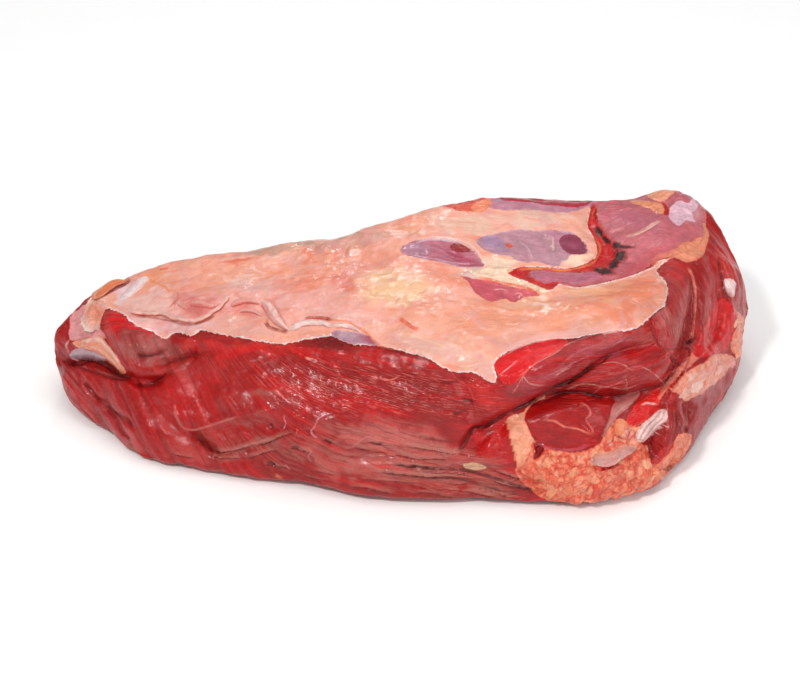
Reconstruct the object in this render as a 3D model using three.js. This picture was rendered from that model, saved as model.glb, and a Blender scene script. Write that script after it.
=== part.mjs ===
// A raw beef shoulder roast, the wedge-shaped clod muscle group trimmed for the oven, lying on its flat side.
// Units are millimetres. +X runs from the narrow end to the thick cut end, +Y to the back and +Z up.
// The body is lofted through named girths, then carved and raised where a muscle, seam, membrane or lump of
// fat shows.

import * as THREE from 'three';

// Each girth is one cross-section of the body at a distance x along it. front and back say how far the flanks
// bulge. rim and ridge are the front and back edges of the top, each as [y, z]. crown lifts the top between
// them, and foot is how far the underside clears the table.
const GIRTHS = [
  { x: -229, front: 3, back: 23, rim: [9, 43], ridge: [15, 44], foot: 17 },
  { x: -218, front: -16, back: 42, rim: [6, 50], ridge: [23, 51], foot: 7 },
  { x: -196, front: -39, back: 56, rim: [-6, 62], ridge: [35, 64], foot: 1 },
  { x: -164, front: -70, back: 64, rim: [-22, 68], ridge: [42, 74], crown: 1 },
  { x: -130, front: -82, back: 68, rim: [-34, 76], ridge: [40, 82], crown: 1 },
  { x: -96, front: -91, back: 72, rim: [-48, 82], ridge: [42, 87], crown: 2 },
  { x: -52, front: -102, back: 80, rim: [-62, 88], ridge: [44, 94], crown: 2 },
  { x: -2, front: -114, back: 94, rim: [-76, 93], ridge: [56, 104], crown: 1 },
  { x: 43, front: -115, back: 108, rim: [-82, 95], ridge: [72, 109] },
  { x: 84, front: -116, back: 114, rim: [-76, 98], ridge: [76, 106] },
  { x: 122, front: -115, back: 117, rim: [-66, 100], ridge: [80, 102], crown: 1 },
  { x: 156, front: -98, back: 120, rim: [-42, 100], ridge: [85, 101] },
  { x: 184, front: -64, back: 122, rim: [-10, 97], ridge: [94, 103] },
  { x: 206, front: -22, back: 113, rim: [20, 89], ridge: [85, 93], foot: 4 },
  { x: 223, front: 8, back: 88, rim: [32, 72], ridge: [58, 74], foot: 15 },
];
const NARROW_TIP = [-232, 12, 32];
const CUT_TIP = [232, 40, 42];

// Proportions that every girth shares.
const FLANK_HEIGHT = 0.2;
const SHOULDER_HEIGHT = 0.64;
const SHOULDER_LEAN = 0.42;
const BACK_FLANK_HEIGHT = 0.34;
const BACK_SHOULDER_HEIGHT = 0.72;
const BACK_SHOULDER_LEAN = 0.72;
const FOOT_INSET = 0.055;
const BACK_FOOT_INSET = 0.1;
const SAG = 4;

// How finely the skin is divided, and how much finer the front and top are than the back and underside.
const ROUND = 66;
const ALONG = 90;
const FRONT_DENSITY = 3.2;
const CUT_END_DENSITY = 1.5;

// The surface features are placed by where they show from a fixed viewpoint in front of and above the roast.
// One picture point is MM_PER_POINT wide at the aim point.
const VIEW_TILT = THREE.MathUtils.degToRad(35);
const VIEW_DISTANCE = 1300;
const VIEW_AIM = new THREE.Vector3(-2, -10, 45);
const MM_PER_POINT = 0.652;
const VIEW_CENTRE = [400, 349.5];

const VIEW_UP = new THREE.Vector3(0, Math.sin(VIEW_TILT), Math.cos(VIEW_TILT));
const VIEW_FORWARD = new THREE.Vector3(0, Math.cos(VIEW_TILT), -Math.sin(VIEW_TILT));
const EYE = VIEW_AIM.clone().addScaledVector(VIEW_FORWARD, -VIEW_DISTANCE);

function smoothstep(low, high, value) {
  return THREE.MathUtils.smoothstep(value, low, high);
}

// Where a point of the body shows, in picture points.
function sight(point) {
  const from = point.clone().sub(VIEW_AIM);
  const depth = VIEW_DISTANCE + from.dot(VIEW_FORWARD);
  const reach = VIEW_DISTANCE / MM_PER_POINT / depth;
  return [VIEW_CENTRE[0] + from.x * reach, VIEW_CENTRE[1] - from.dot(VIEW_UP) * reach];
}

// The control points of one girth, from the front foot up over the top and down to the back foot.
function girthPoints(girth) {
  const { x, front, back, rim, ridge, crown = 0, foot = 0 } = girth;
  const across = back - front;
  const onTop = (share) => [
    THREE.MathUtils.lerp(rim[0], ridge[0], share),
    THREE.MathUtils.lerp(rim[1], ridge[1], share) + crown,
  ];
  const profile = [
    [front + FOOT_INSET * across, foot],
    [front, THREE.MathUtils.lerp(foot, rim[1], FLANK_HEIGHT)],
    [THREE.MathUtils.lerp(front, rim[0], SHOULDER_LEAN), SHOULDER_HEIGHT * rim[1]],
    rim,
    onTop(0.33),
    onTop(0.67),
    ridge,
    [THREE.MathUtils.lerp(ridge[0], back, BACK_SHOULDER_LEAN), BACK_SHOULDER_HEIGHT * ridge[1]],
    [back, THREE.MathUtils.lerp(foot, ridge[1], BACK_FLANK_HEIGHT)],
    [back - BACK_FOOT_INSET * across, foot],
    [(front + back) / 2, foot - SAG],
  ];
  return profile.map(([y, z]) => new THREE.Vector3(x, y, z));
}

// Rails run along the body through the like-placed control points of all girths, from tip to tip.
function makeRails() {
  const rings = GIRTHS.map(girthPoints);
  return rings[0].map((_, place) => new THREE.CatmullRomCurve3(
    [new THREE.Vector3(...NARROW_TIP), ...rings.map((ring) => ring[place]), new THREE.Vector3(...CUT_TIP)],
    false, 'catmullrom', 0.5,
  ));
}

function section(rails, share) {
  return new THREE.CatmullRomCurve3(rails.map((rail) => rail.getPoint(share)), true, 'catmullrom', 0.5);
}

// Shares from 0 to 1 that divide a run of weighted lengths evenly.
function evenShares(weights, count) {
  const sums = [0];
  weights.forEach((weight) => sums.push(sums[sums.length - 1] + weight));
  const total = sums[sums.length - 1];
  const shares = [];
  let at = 0;
  for (let i = 0; i <= count; i += 1) {
    const target = (total * i) / count;
    while (at < weights.length - 1 && sums[at + 1] < target) at += 1;
    shares.push((at + (target - sums[at]) / weights[at]) / weights.length);
  }
  return shares;
}

const FINE = 400;

function alongShares(rails) {
  const watched = rails.filter((_, place) => place > 0 && place < 9);
  const weights = [];
  for (let i = 0; i < FINE; i += 1) {
    const steps = watched.map((rail) => rail.getPoint(i / FINE).distanceTo(rail.getPoint((i + 1) / FINE)));
    const x = watched[0].getPoint((i + 0.5) / FINE).x;
    const density = THREE.MathUtils.lerp(1, CUT_END_DENSITY, smoothstep(20, 120, x));
    weights.push(density * steps.reduce((sum, step) => sum + step, 0) / steps.length);
  }
  return evenShares(weights, ALONG);
}

function aroundShares(curve) {
  const weights = [];
  let before = curve.getPoint(0);
  for (let i = 0; i < FINE; i += 1) {
    const middle = (i + 0.5) / FINE;
    const after = curve.getPoint((i + 1) / FINE);
    const fine = smoothstep(0, 0.06, middle) * (1 - smoothstep(0.52, 0.6, middle));
    weights.push(THREE.MathUtils.lerp(1, FRONT_DENSITY, fine) * before.distanceTo(after));
    before = after;
  }
  return evenShares(weights, ROUND);
}

// The bare body as rings of points between its two tips.
function makeRings() {
  const rails = makeRails();
  const stations = alongShares(rails).slice(1, -1);
  return stations.map((share) => {
    const curve = section(rails, share);
    return aroundShares(curve).slice(0, -1).map((place) => curve.getPoint(place));
  });
}

// Distance in picture points from a spot to a path, and how far along the path that is, from 0 to 1.
function pathDistance(path, [px, py]) {
  let best = Infinity;
  let along = 0;
  for (let i = 0; i < path.length - 1; i += 1) {
    const [ax, ay] = path[i];
    const [bx, by] = path[i + 1];
    const length2 = (bx - ax) ** 2 + (by - ay) ** 2;
    const t = THREE.MathUtils.clamp(((px - ax) * (bx - ax) + (py - ay) * (by - ay)) / length2, 0, 1);
    const distance = Math.hypot(px - ax - t * (bx - ax), py - ay - t * (by - ay));
    if (distance < best) {
      best = distance;
      along = (i + t) / (path.length - 1);
    }
  }
  return [best, along];
}

// Signed distance to a closed outline, positive inside.
function outlineDistance(outline, spot) {
  const [px, py] = spot;
  let inside = false;
  outline.forEach(([ax, ay], i) => {
    const [bx, by] = outline[(i + 1) % outline.length];
    if ((ay > py) !== (by > py) && px < ((bx - ax) * (py - ay)) / (by - ay) + ax) inside = !inside;
  });
  const [distance] = pathDistance([...outline, outline[0]], spot);
  return inside ? distance : -distance;
}

// A crease between two muscles: deep along its middle, shallow towards its ends.
function crease({ path, depth, halfWidth }) {
  return (spot) => {
    const [distance, along] = pathDistance(path, spot);
    const taper = smoothstep(0, 0.12, along) * smoothstep(0, 0.12, 1 - along);
    return -depth * (0.35 + 0.65 * taper) * Math.exp(-((distance / halfWidth) ** 2));
  };
}

// A rounded swell over an ellipse.
function swell({ centre, radii, turn = 0, height }) {
  const angle = THREE.MathUtils.degToRad(turn);
  return ([px, py]) => {
    const across = (px - centre[0]) * Math.cos(angle) + (py - centre[1]) * Math.sin(angle);
    const down = (py - centre[1]) * Math.cos(angle) - (px - centre[0]) * Math.sin(angle);
    const reach = (across / radii[0]) ** 2 + (down / radii[1]) ** 2;
    return reach < 1 ? height * (1 - reach) ** 1.5 : 0;
  };
}

// A level step inside an outline, up or down.
function plateau({ outline, height, soft }) {
  return (spot) => height * smoothstep(-soft, soft, outlineDistance(outline, spot));
}

function scatter(i, j, salt) {
  const value = Math.sin(i * 12.9898 + j * 78.233 + salt * 37.719) * 43758.5453;
  return value - Math.floor(value);
}

// Lumps of fat on a jittered grid inside an outline.
function lumps({ outline, pitch, height }) {
  return (spot) => {
    const inside = smoothstep(-3, 6, outlineDistance(outline, spot));
    if (inside === 0) return 0;
    const column = Math.floor(spot[0] / pitch);
    const row = Math.floor(spot[1] / pitch);
    let best = 0;
    for (let i = column - 1; i <= column + 1; i += 1) {
      for (let j = row - 1; j <= row + 1; j += 1) {
        const x = (i + 0.2 + 0.6 * scatter(i, j, 1)) * pitch;
        const y = (j + 0.2 + 0.6 * scatter(i, j, 2)) * pitch;
        const radius = pitch * (0.6 + 0.3 * scatter(i, j, 3));
        const reach = ((spot[0] - x) ** 2 + (spot[1] - y) ** 2) / radius ** 2;
        if (reach < 1) best = Math.max(best, Math.sqrt(1 - reach) * (0.6 + 0.4 * scatter(i, j, 4)));
      }
    }
    return height * best * inside;
  };
}

// The pale membrane over the top, out to where it is cut off along the front and the cut end.
const MEMBRANE = [
  [84, 318], [92, 296], [118, 284], [150, 262], [240, 244], [360, 222], [440, 190], [560, 186], [592, 190],
  [590, 226], [604, 246], [598, 260], [560, 268], [510, 268], [506, 276], [540, 291], [600, 284], [655, 268],
  [668, 290], [666, 308], [645, 324], [600, 331], [560, 338], [515, 348], [494, 362], [500, 382], [486, 378],
  [470, 371], [450, 369], [430, 361], [400, 352], [372, 345], [338, 336], [312, 338], [290, 343], [250, 340],
  [215, 334], [198, 331], [163, 339], [133, 326], [115, 311], [98, 314],
];
const MEMBRANE_THICKNESS = 1.6;

// Muscle that shows through openings in the membrane, a little below it.
const OPENINGS = [
  [[400, 247], [412, 241], [440, 239], [462, 243], [476, 251], [483, 266], [466, 265], [412, 257]],
  [[477, 241], [505, 227], [535, 231], [572, 234], [588, 251], [555, 267], [522, 262], [498, 256]],
  [[462, 271], [492, 281], [536, 293], [520, 299], [487, 300], [474, 289]],
];
const OPENING_DEPTH = 1.8;

const FAT_BED = [
  [508, 420], [520, 412], [534, 440], [560, 452], [598, 448], [622, 432], [640, 404], [664, 398], [652, 436],
  [660, 470], [640, 492], [600, 502], [562, 508], [536, 494], [512, 466],
];
const EYE_OF_MUSCLE = { centre: [567, 420], radii: [50, 36], turn: 8 };
const PINK_PAD = [
  [660, 400], [672, 384], [694, 364], [714, 351], [732, 352], [724, 370], [706, 386], [680, 402],
];

const RELIEF = [
  plateau({ outline: MEMBRANE, height: MEMBRANE_THICKNESS, soft: 4 }),
  ...OPENINGS.map((outline) => plateau({ outline, height: -OPENING_DEPTH, soft: 6 })),
  // The torn edge of the flat muscle on top curls round in an S.
  crease({
    path: [[594, 200], [590, 224], [606, 247], [594, 264], [560, 270], [520, 272]],
    depth: 3.4, halfWidth: 9,
  }),
  swell({ centre: [542, 281], radii: [30, 14], turn: 12, height: 3 }),
  swell({ centre: [650, 232], radii: [54, 34], turn: -6, height: 5 }),
  swell({ centre: [420, 300], radii: [80, 34], turn: 10, height: 3 }),
  swell({ centre: [600, 306], radii: [80, 24], turn: -8, height: 4 }),
  // The upper roll hangs over the cut end, with the middle belly under it.
  swell({ centre: [556, 368], radii: [74, 27], turn: -24, height: 10 }),
  swell({ centre: [628, 372], radii: [62, 26], turn: -8, height: 7 }),
  swell({ centre: [676, 300], radii: [24, 56], turn: 2, height: 4 }),
  crease({
    path: [
      [652, 344], [616, 354], [584, 364], [566, 382], [545, 399],
      [520, 413], [496, 426], [474, 443], [452, 450],
    ],
    depth: 9, halfWidth: 10,
  }),
  crease({
    path: [
      [534, 404], [566, 395], [600, 394], [640, 394], [664, 387],
      [676, 372], [688, 350], [693, 318], [692, 276],
    ],
    depth: 9, halfWidth: 10,
  }),
  // The round muscle in its hollow, ringed by fat.
  swell({ ...EYE_OF_MUSCLE, height: -9 }),
  swell({ centre: [567, 420], radii: [40, 27], turn: 8, height: 9 }),
  swell({ centre: [590, 474], radii: [92, 34], turn: 0, height: 7 }),
  lumps({ outline: FAT_BED, pitch: 20, height: 4 }),
  crease({ path: [[508, 418], [500, 440], [520, 474], [552, 494]], depth: 4, halfWidth: 9 }),
  // Folds and pads down the cut end.
  plateau({ outline: PINK_PAD, height: 4, soft: 6 }),
  crease({ path: [[660, 402], [653, 432], [648, 462]], depth: 6, halfWidth: 8 }),
  swell({ centre: [672, 436], radii: [20, 38], turn: 12, height: 7 }),
  crease({ path: [[690, 398], [684, 428], [676, 456], [668, 474]], depth: 5, halfWidth: 8 }),
  crease({ path: [[708, 250], [718, 300], [710, 346]], depth: 4, halfWidth: 9 }),
  // Ledges where the lower flank was sliced from its neighbours.
  crease({ path: [[340, 452], [400, 456], [452, 466], [508, 476], [552, 494]], depth: 4, halfWidth: 8 }),
  crease({ path: [[400, 480], [450, 484], [500, 489], [540, 497]], depth: 3, halfWidth: 7 }),
  crease({ path: [[458, 374], [468, 396], [478, 420], [486, 430]], depth: 4.5, halfWidth: 9 }),
  swell({ centre: [300, 415], radii: [150, 44], turn: 4, height: 4 }),
  // The narrow end: a rolled lip of red muscle over a torn pale pocket.
  swell({ centre: [132, 340], radii: [42, 26], turn: 38, height: 6 }),
  crease({ path: [[62, 362], [88, 361], [112, 370], [138, 379], [168, 382]], depth: 6, halfWidth: 8 }),
  crease({ path: [[96, 312], [106, 334], [122, 356]], depth: 4.5, halfWidth: 8 }),
  crease({ path: [[88, 302], [108, 290], [136, 279]], depth: 3, halfWidth: 7 }),
  crease({ path: [[128, 352], [162, 362], [206, 352]], depth: 3, halfWidth: 9 }),
  crease({ path: [[168, 398], [176, 420], [196, 436], [222, 452]], depth: 3.4, halfWidth: 9 }),
  crease({ path: [[180, 428], [220, 430], [262, 424], [300, 434]], depth: 3, halfWidth: 9 }),
];

// Seams between the muscles of the back flank, as [x, z] on it.
const BACK_SEAMS = [
  { path: [[-190, 34], [-120, 50], [-40, 52], [40, 66], [120, 60], [196, 66]], depth: 5, halfWidth: 7 },
  { path: [[30, 64], [74, 44], [130, 26], [190, 22]], depth: 4, halfWidth: 6 },
  { path: [[-130, 49], [-84, 30], [-20, 20]], depth: 3, halfWidth: 6 },
].map(crease);

// Broad unevenness of soft meat, from three crossed waves.
function unevenness({ x, y, z }) {
  return Math.sin(x / 21 + y / 33 + 0.7) * Math.sin(z / 15 + x / 40)
    + 0.6 * Math.sin(y / 13 - x / 29 + 2.1) * Math.sin(z / 11 + 0.4)
    + 0.5 * Math.sin(x / 9.5 + z / 17 + 1.2) * Math.sin(y / 12 + 0.9);
}
const UNEVEN_HEIGHT = 1.1;

// How far the surface stands out from the bare body at a point, along its normal.
function relief(point, normal) {
  const towardsEye = EYE.clone().sub(point).normalize().dot(normal);
  const seen = smoothstep(0.02, 0.3, towardsEye);
  const behind = smoothstep(0.1, 0.5, normal.y) * (1 - seen);
  let height = UNEVEN_HEIGHT * unevenness(point);
  if (seen > 0) {
    const spot = sight(point);
    height += seen * RELIEF.reduce((sum, feature) => sum + feature(spot), 0);
  }
  if (behind > 0) {
    height += behind * BACK_SEAMS.reduce((sum, seam) => sum + seam([point.x, point.z]), 0);
  }
  return height;
}

// One closed skin over the rings, with a fan to each tip. Each cell is split along its shorter diagonal.
function skinIndex(rings, points) {
  const around = rings[0].length;
  const index = [];
  const vertex = (ring, place) => 1 + ring * around + (place % around);
  const lastTip = 1 + rings.length * around;
  for (let place = 0; place < around; place += 1) {
    index.push(0, vertex(0, place), vertex(0, place + 1));
    for (let ring = 0; ring < rings.length - 1; ring += 1) {
      const [a, b] = [vertex(ring, place), vertex(ring, place + 1)];
      const [c, d] = [vertex(ring + 1, place), vertex(ring + 1, place + 1)];
      if (points[a].distanceToSquared(points[d]) < points[b].distanceToSquared(points[c])) {
        index.push(a, c, d, a, d, b);
      } else {
        index.push(a, c, b, b, c, d);
      }
    }
    index.push(vertex(rings.length - 1, place), lastTip, vertex(rings.length - 1, place + 1));
  }
  return index;
}

function makeRoast() {
  const rings = makeRings();
  const points = [new THREE.Vector3(...NARROW_TIP), ...rings.flat(), new THREE.Vector3(...CUT_TIP)];
  const geometry = new THREE.BufferGeometry().setFromPoints(points);
  geometry.setIndex(skinIndex(rings, points));
  geometry.computeVertexNormals();
  const normals = geometry.getAttribute('normal');
  const normal = new THREE.Vector3();
  points.forEach((point, i) => {
    normal.fromBufferAttribute(normals, i);
    point.addScaledVector(normal, relief(point, normal));
    point.z = Math.max(point.z, 0);
  });
  geometry.setFromPoints(points);
  geometry.setIndex(skinIndex(rings, points));
  geometry.computeBoundingBox();
  const middle = geometry.boundingBox.getCenter(new THREE.Vector3());
  geometry.translate(-middle.x, -middle.y, -geometry.boundingBox.min.z);
  geometry.computeVertexNormals();
  return geometry;
}

const MEAT = new THREE.MeshStandardMaterial({ color: 0xa3222a, roughness: 0.42, metalness: 0 });

const roast = new THREE.Mesh(makeRoast(), MEAT);
roast.name = 'roast';

const group = new THREE.Group();
group.add(roast);

export default group;
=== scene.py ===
"""A raw beef shoulder roast: red muscle, a pale membrane, fat and torn flaps, over the CAD solid."""

import itertools
import math

import bpy
import numpy as np
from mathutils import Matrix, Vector
from mathutils.bvhtree import BVHTree


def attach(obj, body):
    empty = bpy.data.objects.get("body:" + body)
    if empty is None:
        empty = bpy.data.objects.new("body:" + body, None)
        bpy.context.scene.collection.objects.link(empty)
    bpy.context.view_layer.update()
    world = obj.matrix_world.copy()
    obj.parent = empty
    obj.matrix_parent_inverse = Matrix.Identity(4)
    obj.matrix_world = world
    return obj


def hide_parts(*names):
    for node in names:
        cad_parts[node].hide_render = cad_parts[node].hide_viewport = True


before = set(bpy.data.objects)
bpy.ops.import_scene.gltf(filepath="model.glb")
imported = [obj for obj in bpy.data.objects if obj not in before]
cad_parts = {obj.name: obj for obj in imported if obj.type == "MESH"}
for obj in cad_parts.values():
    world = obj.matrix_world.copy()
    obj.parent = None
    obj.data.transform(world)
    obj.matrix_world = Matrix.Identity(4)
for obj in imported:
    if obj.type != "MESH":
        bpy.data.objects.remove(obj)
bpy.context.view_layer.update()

MM = 0.001

# The picture frame that every pixel coordinate below is given in.
PICTURE_WIDTH = 800
PICTURE_HEIGHT = 699

# The viewpoint, in millimetres and degrees. One pixel is MM_PER_PIXEL wide at the aim point.
VIEW_TILT = math.radians(35)
VIEW_DISTANCE = 1300
VIEW_AIM = np.array([-2.0, -10.0, 45.0])
MM_PER_PIXEL = 0.652
SENSOR_WIDTH = 36

VIEW_FORWARD = np.array([0, math.cos(VIEW_TILT), -math.sin(VIEW_TILT)])
VIEW_UP = np.array([0, math.sin(VIEW_TILT), math.cos(VIEW_TILT)])
EYE = VIEW_AIM - VIEW_DISTANCE * VIEW_FORWARD
FOCAL_PIXELS = VIEW_DISTANCE / MM_PER_PIXEL


def add_object(name, data):
    thing = bpy.data.objects.new(name, data)
    bpy.context.collection.objects.link(thing)
    return thing


def add_camera():
    data = bpy.data.cameras.new("camera")
    data.sensor_width = SENSOR_WIDTH
    data.lens = FOCAL_PIXELS * SENSOR_WIDTH / PICTURE_WIDTH
    camera = add_object("camera", data)
    camera.location = EYE * MM
    camera.rotation_euler = (math.pi / 2 - VIEW_TILT, 0, 0)
    bpy.context.scene.camera = camera


def smoothstep(low, high, value):
    t = np.clip((value - low) / (high - low), 0, 1)
    return t * t * (3 - 2 * t)


def sight(points):
    """Where points in millimetres show in the picture, in pixels."""
    offset = points - VIEW_AIM
    reach = FOCAL_PIXELS / (VIEW_DISTANCE + offset @ VIEW_FORWARD)
    return np.stack([
        PICTURE_WIDTH / 2 + offset[:, 0] * reach,
        PICTURE_HEIGHT / 2 - (offset @ VIEW_UP) * reach,
    ], axis=1)


# How strongly the studio lights a surface, and the light that its wet sheen adds.
STUDIO_LIGHT = 1.12
SHEEN = 0.02
LEAST_PIGMENT = 0.003
MOST_PIGMENT = 0.95


def pigment(red, green, blue):
    """The linear pigment that shows as a display colour, from 0 to 255, under the studio light."""
    levels = np.array([red, green, blue]) / 255
    light = np.where(levels <= 0.04045, levels / 12.92, ((levels + 0.055) / 1.055) ** 2.4)
    return np.clip((light - SHEEN) / STUDIO_LIGHT, LEAST_PIGMENT, MOST_PIGMENT)


# The body's girths, in millimetres: each is one cross-section at a distance x along it. front and back say
# how far the flanks bulge, rim and ridge are the front and back edges of the top as (y, z), crown lifts the
# top between them, and foot is how far the underside clears the table.
GIRTHS = [
    dict(x=-229, front=3, back=23, rim=(9, 43), ridge=(15, 44), foot=17),
    dict(x=-218, front=-16, back=42, rim=(6, 50), ridge=(23, 51), foot=7),
    dict(x=-196, front=-39, back=56, rim=(-6, 62), ridge=(35, 64), foot=1),
    dict(x=-164, front=-70, back=64, rim=(-22, 68), ridge=(42, 74), crown=1),
    dict(x=-130, front=-82, back=68, rim=(-34, 76), ridge=(40, 82), crown=1),
    dict(x=-96, front=-91, back=72, rim=(-48, 82), ridge=(42, 87), crown=2),
    dict(x=-52, front=-102, back=80, rim=(-62, 88), ridge=(44, 94), crown=2),
    dict(x=-2, front=-114, back=94, rim=(-76, 93), ridge=(56, 104), crown=1),
    dict(x=43, front=-115, back=108, rim=(-82, 95), ridge=(72, 109)),
    dict(x=84, front=-116, back=114, rim=(-76, 98), ridge=(76, 106)),
    dict(x=122, front=-115, back=117, rim=(-66, 100), ridge=(80, 102), crown=1),
    dict(x=156, front=-98, back=120, rim=(-42, 100), ridge=(85, 101)),
    dict(x=184, front=-64, back=122, rim=(-10, 97), ridge=(94, 103)),
    dict(x=206, front=-22, back=113, rim=(20, 89), ridge=(85, 93), foot=4),
    dict(x=223, front=8, back=88, rim=(32, 72), ridge=(58, 74), foot=15),
]
NARROW_TIP = (-232, 12, 32)
CUT_TIP = (232, 40, 42)

# Proportions that every girth shares.
FLANK_HEIGHT = 0.2
SHOULDER_HEIGHT = 0.64
SHOULDER_LEAN = 0.42
BACK_FLANK_HEIGHT = 0.34
BACK_SHOULDER_HEIGHT = 0.72
BACK_SHOULDER_LEAN = 0.72
FOOT_INSET = 0.055
BACK_FOOT_INSET = 0.1
SAG = 4
RIM_PLACE = 3
PLACES = 11
ABOVE_FOOT = slice(1, 9)
TOP_SHARES = (0.33, 0.67)

# Spacing of the skin's points along the body, and around it on the shown side, the back and the underside.
SPACING_ALONG = 1.1
SPACING_SHOWN = 1.05
SPACING_BACK = 2.6
SPACING_UNDER = 8
FINE_STEPS = 600

# Where round a girth the shown side starts and ends and the underside starts, as the shares each fades over.
SHOWN_START = (0, 0.04)
SHOWN_END = (0.54, 0.6)
UNDER_START = (0.78, 0.84)


def mix(a, b, share):
    return a + (b - a) * share


# Keeps the last share within the last span of a curve.
SHARE_MARGIN = 1e-9


def catmull(points, share, closed=False):
    """Points at shares from 0 to 1 along uniform Catmull-Rom curves, whose control points are on axis 0."""
    points = np.asarray(points, float)
    spans = len(points) if closed else len(points) - 1
    at = np.clip(np.asarray(share) * spans, 0, spans - SHARE_MARGIN)
    first = at.astype(int)
    w = (at - first).reshape(-1, *[1] * (points.ndim - 1))
    if closed:
        p0, p1, p2, p3 = (points[(first + step) % spans] for step in (-1, 0, 1, 2))
    else:
        ends = np.concatenate([[2 * points[0] - points[1]], points, [2 * points[-1] - points[-2]]])
        p0, p1, p2, p3 = (ends[first + step] for step in range(4))
    m1, m2 = (p2 - p0) / 2, (p3 - p1) / 2
    return p1 + w * m1 + w**2 * (3 * (p2 - p1) - 2 * m1 - m2) + w**3 * (2 * (p1 - p2) + m1 + m2)


def girth_points(x, front, back, rim, ridge, crown=0, foot=0):
    """A girth's control points, from the front foot up over the top and down to the back foot."""
    across = back - front

    def on_top(share):
        return mix(rim[0], ridge[0], share), mix(rim[1], ridge[1], share) + crown

    profile = [
        (front + FOOT_INSET * across, foot),
        (front, mix(foot, rim[1], FLANK_HEIGHT)),
        (mix(front, rim[0], SHOULDER_LEAN), SHOULDER_HEIGHT * rim[1]),
        rim,
        *map(on_top, TOP_SHARES),
        ridge,
        (mix(ridge[0], back, BACK_SHOULDER_LEAN), BACK_SHOULDER_HEIGHT * ridge[1]),
        (back, mix(foot, ridge[1], BACK_FLANK_HEIGHT)),
        (back - BACK_FOOT_INSET * across, foot),
        ((front + back) / 2, foot - SAG),
    ]
    return np.array([(x, y, z) for y, z in profile])


def even_shares(weights, count):
    """Shares from 0 to 1 that divide a run of weighted lengths evenly."""
    sums = np.concatenate([[0], np.cumsum(weights)])
    return np.interp(np.linspace(0, sums[-1], count + 1), sums, np.linspace(0, 1, len(sums)))


def make_rings():
    """The bare body as rings of points between its two tips, with each point's place round its ring."""
    tips = [np.tile(tip, (1, PLACES, 1)) for tip in (NARROW_TIP, CUT_TIP)]
    controls = np.concatenate([tips[0], [girth_points(**girth) for girth in GIRTHS], tips[1]])
    fine = np.linspace(0, 1, FINE_STEPS + 1)
    rails = catmull(controls, fine)
    steps = np.linalg.norm(np.diff(rails[:, ABOVE_FOOT], axis=0), axis=2).mean(axis=1)
    stations = even_shares(steps, round(steps.sum() / SPACING_ALONG))[1:-1]
    sections = catmull(controls, stations)
    middle = (fine[:-1] + fine[1:]) / 2
    shown = smoothstep(*SHOWN_START, middle) * (1 - smoothstep(*SHOWN_END, middle))
    under = smoothstep(*UNDER_START, middle) + 1 - smoothstep(*SHOWN_START, middle)
    density = mix(mix(1 / SPACING_BACK, 1 / SPACING_SHOWN, shown), 1 / SPACING_UNDER, under)
    weights = []
    for section in sections:
        curve = catmull(section, fine, closed=True)
        weights.append(density * np.linalg.norm(np.diff(curve, axis=0), axis=1))
    around = round(max(weight.sum() for weight in weights))
    rings, places = [], []
    for section, weight in zip(sections, weights):
        shares = even_shares(weight, around)[:-1]
        rings.append(catmull(section, shares, closed=True))
        places.append(shares)
    return np.array(rings), np.array(places)


NOISE_GAIN = 1.6


def noise(points, size, seed=0):
    """Smooth gradient noise from about -1 to 1, with features about size across."""
    at = points / size
    cell = np.floor(at).astype(np.int64)
    inside = at - cell
    fade = inside**3 * (inside * (6 * inside - 15) + 10)
    total = np.zeros(len(points))
    for corner in itertools.product((0, 1), repeat=3):
        hashed = scramble(cell + corner, seed)
        turn = (hashed & 0xFFFF) / 0xFFFF * 2 * math.pi
        rise = (hashed >> 16) / 0xFFFF * 2 - 1
        flat = np.sqrt(1 - rise**2)
        offset = inside - corner
        slope = flat * (np.cos(turn) * offset[:, 0] + np.sin(turn) * offset[:, 1]) + rise * offset[:, 2]
        total += slope * np.prod(np.where(corner, fade, 1 - fade), axis=1)
    return NOISE_GAIN * total


def scramble(cells, seed):
    """A random 32-bit number for each whole-numbered cell, the same on each run."""
    mixed = cells[..., 0] * 73856093 ^ cells[..., 1] * 19349663 ^ cells[..., 2] * 83492791 ^ seed * 2654435761
    mixed = (mixed ^ mixed >> 15) * 1274126177 & 0xFFFFFFFF
    mixed = (mixed ^ mixed >> 13) * 2246822519 & 0xFFFFFFFF
    return mixed ^ mixed >> 16


def layered(points, layers):
    """Layers of noise, each as (height, squeeze, size, seed): a squeeze draws it out along the first axis."""
    return sum(height * noise(points * (squeeze, 1, 1), size, seed) for height, squeeze, size, seed in layers)


# How far the lobes are bent, in lobes, over which distance, and how wide the gaps between them are.
LOBE_BEND = 0.35
LOBE_BEND_SIZE = 1.6
LOBE_GAP = 0.6

# More lobes away, or more radii out of an ellipse, than anything that matters.
BEYOND = 9.0


def lobes(points, size, seed=0):
    """Packed rounded lobes about size across: 1 in the middle of each, falling to 0 in the gaps between."""
    bend = np.stack([noise(points, LOBE_BEND_SIZE * size, seed + step) for step in range(3)], axis=1)
    at = points / size + LOBE_BEND * bend
    cell = np.floor(at).astype(np.int64)
    nearest = np.full(len(points), BEYOND)
    second = nearest.copy()
    for corner in itertools.product((-1, 0, 1), repeat=3):
        near = cell + corner
        hashed = scramble(near, seed)
        jitter = np.stack([hashed & 0x3FF, hashed >> 10 & 0x3FF, hashed >> 20 & 0x3FF], axis=1) / 0x3FF
        away = np.linalg.norm(near + jitter - at, axis=1)
        second = np.minimum(second, np.maximum(nearest, away))
        nearest = np.minimum(nearest, away)
    gap = np.clip((second - nearest) / LOBE_GAP, 0, 1)
    return 1 - (1 - gap) ** 2


# Distances in pixels are measured up to this.
FAR = 60.0


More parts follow.
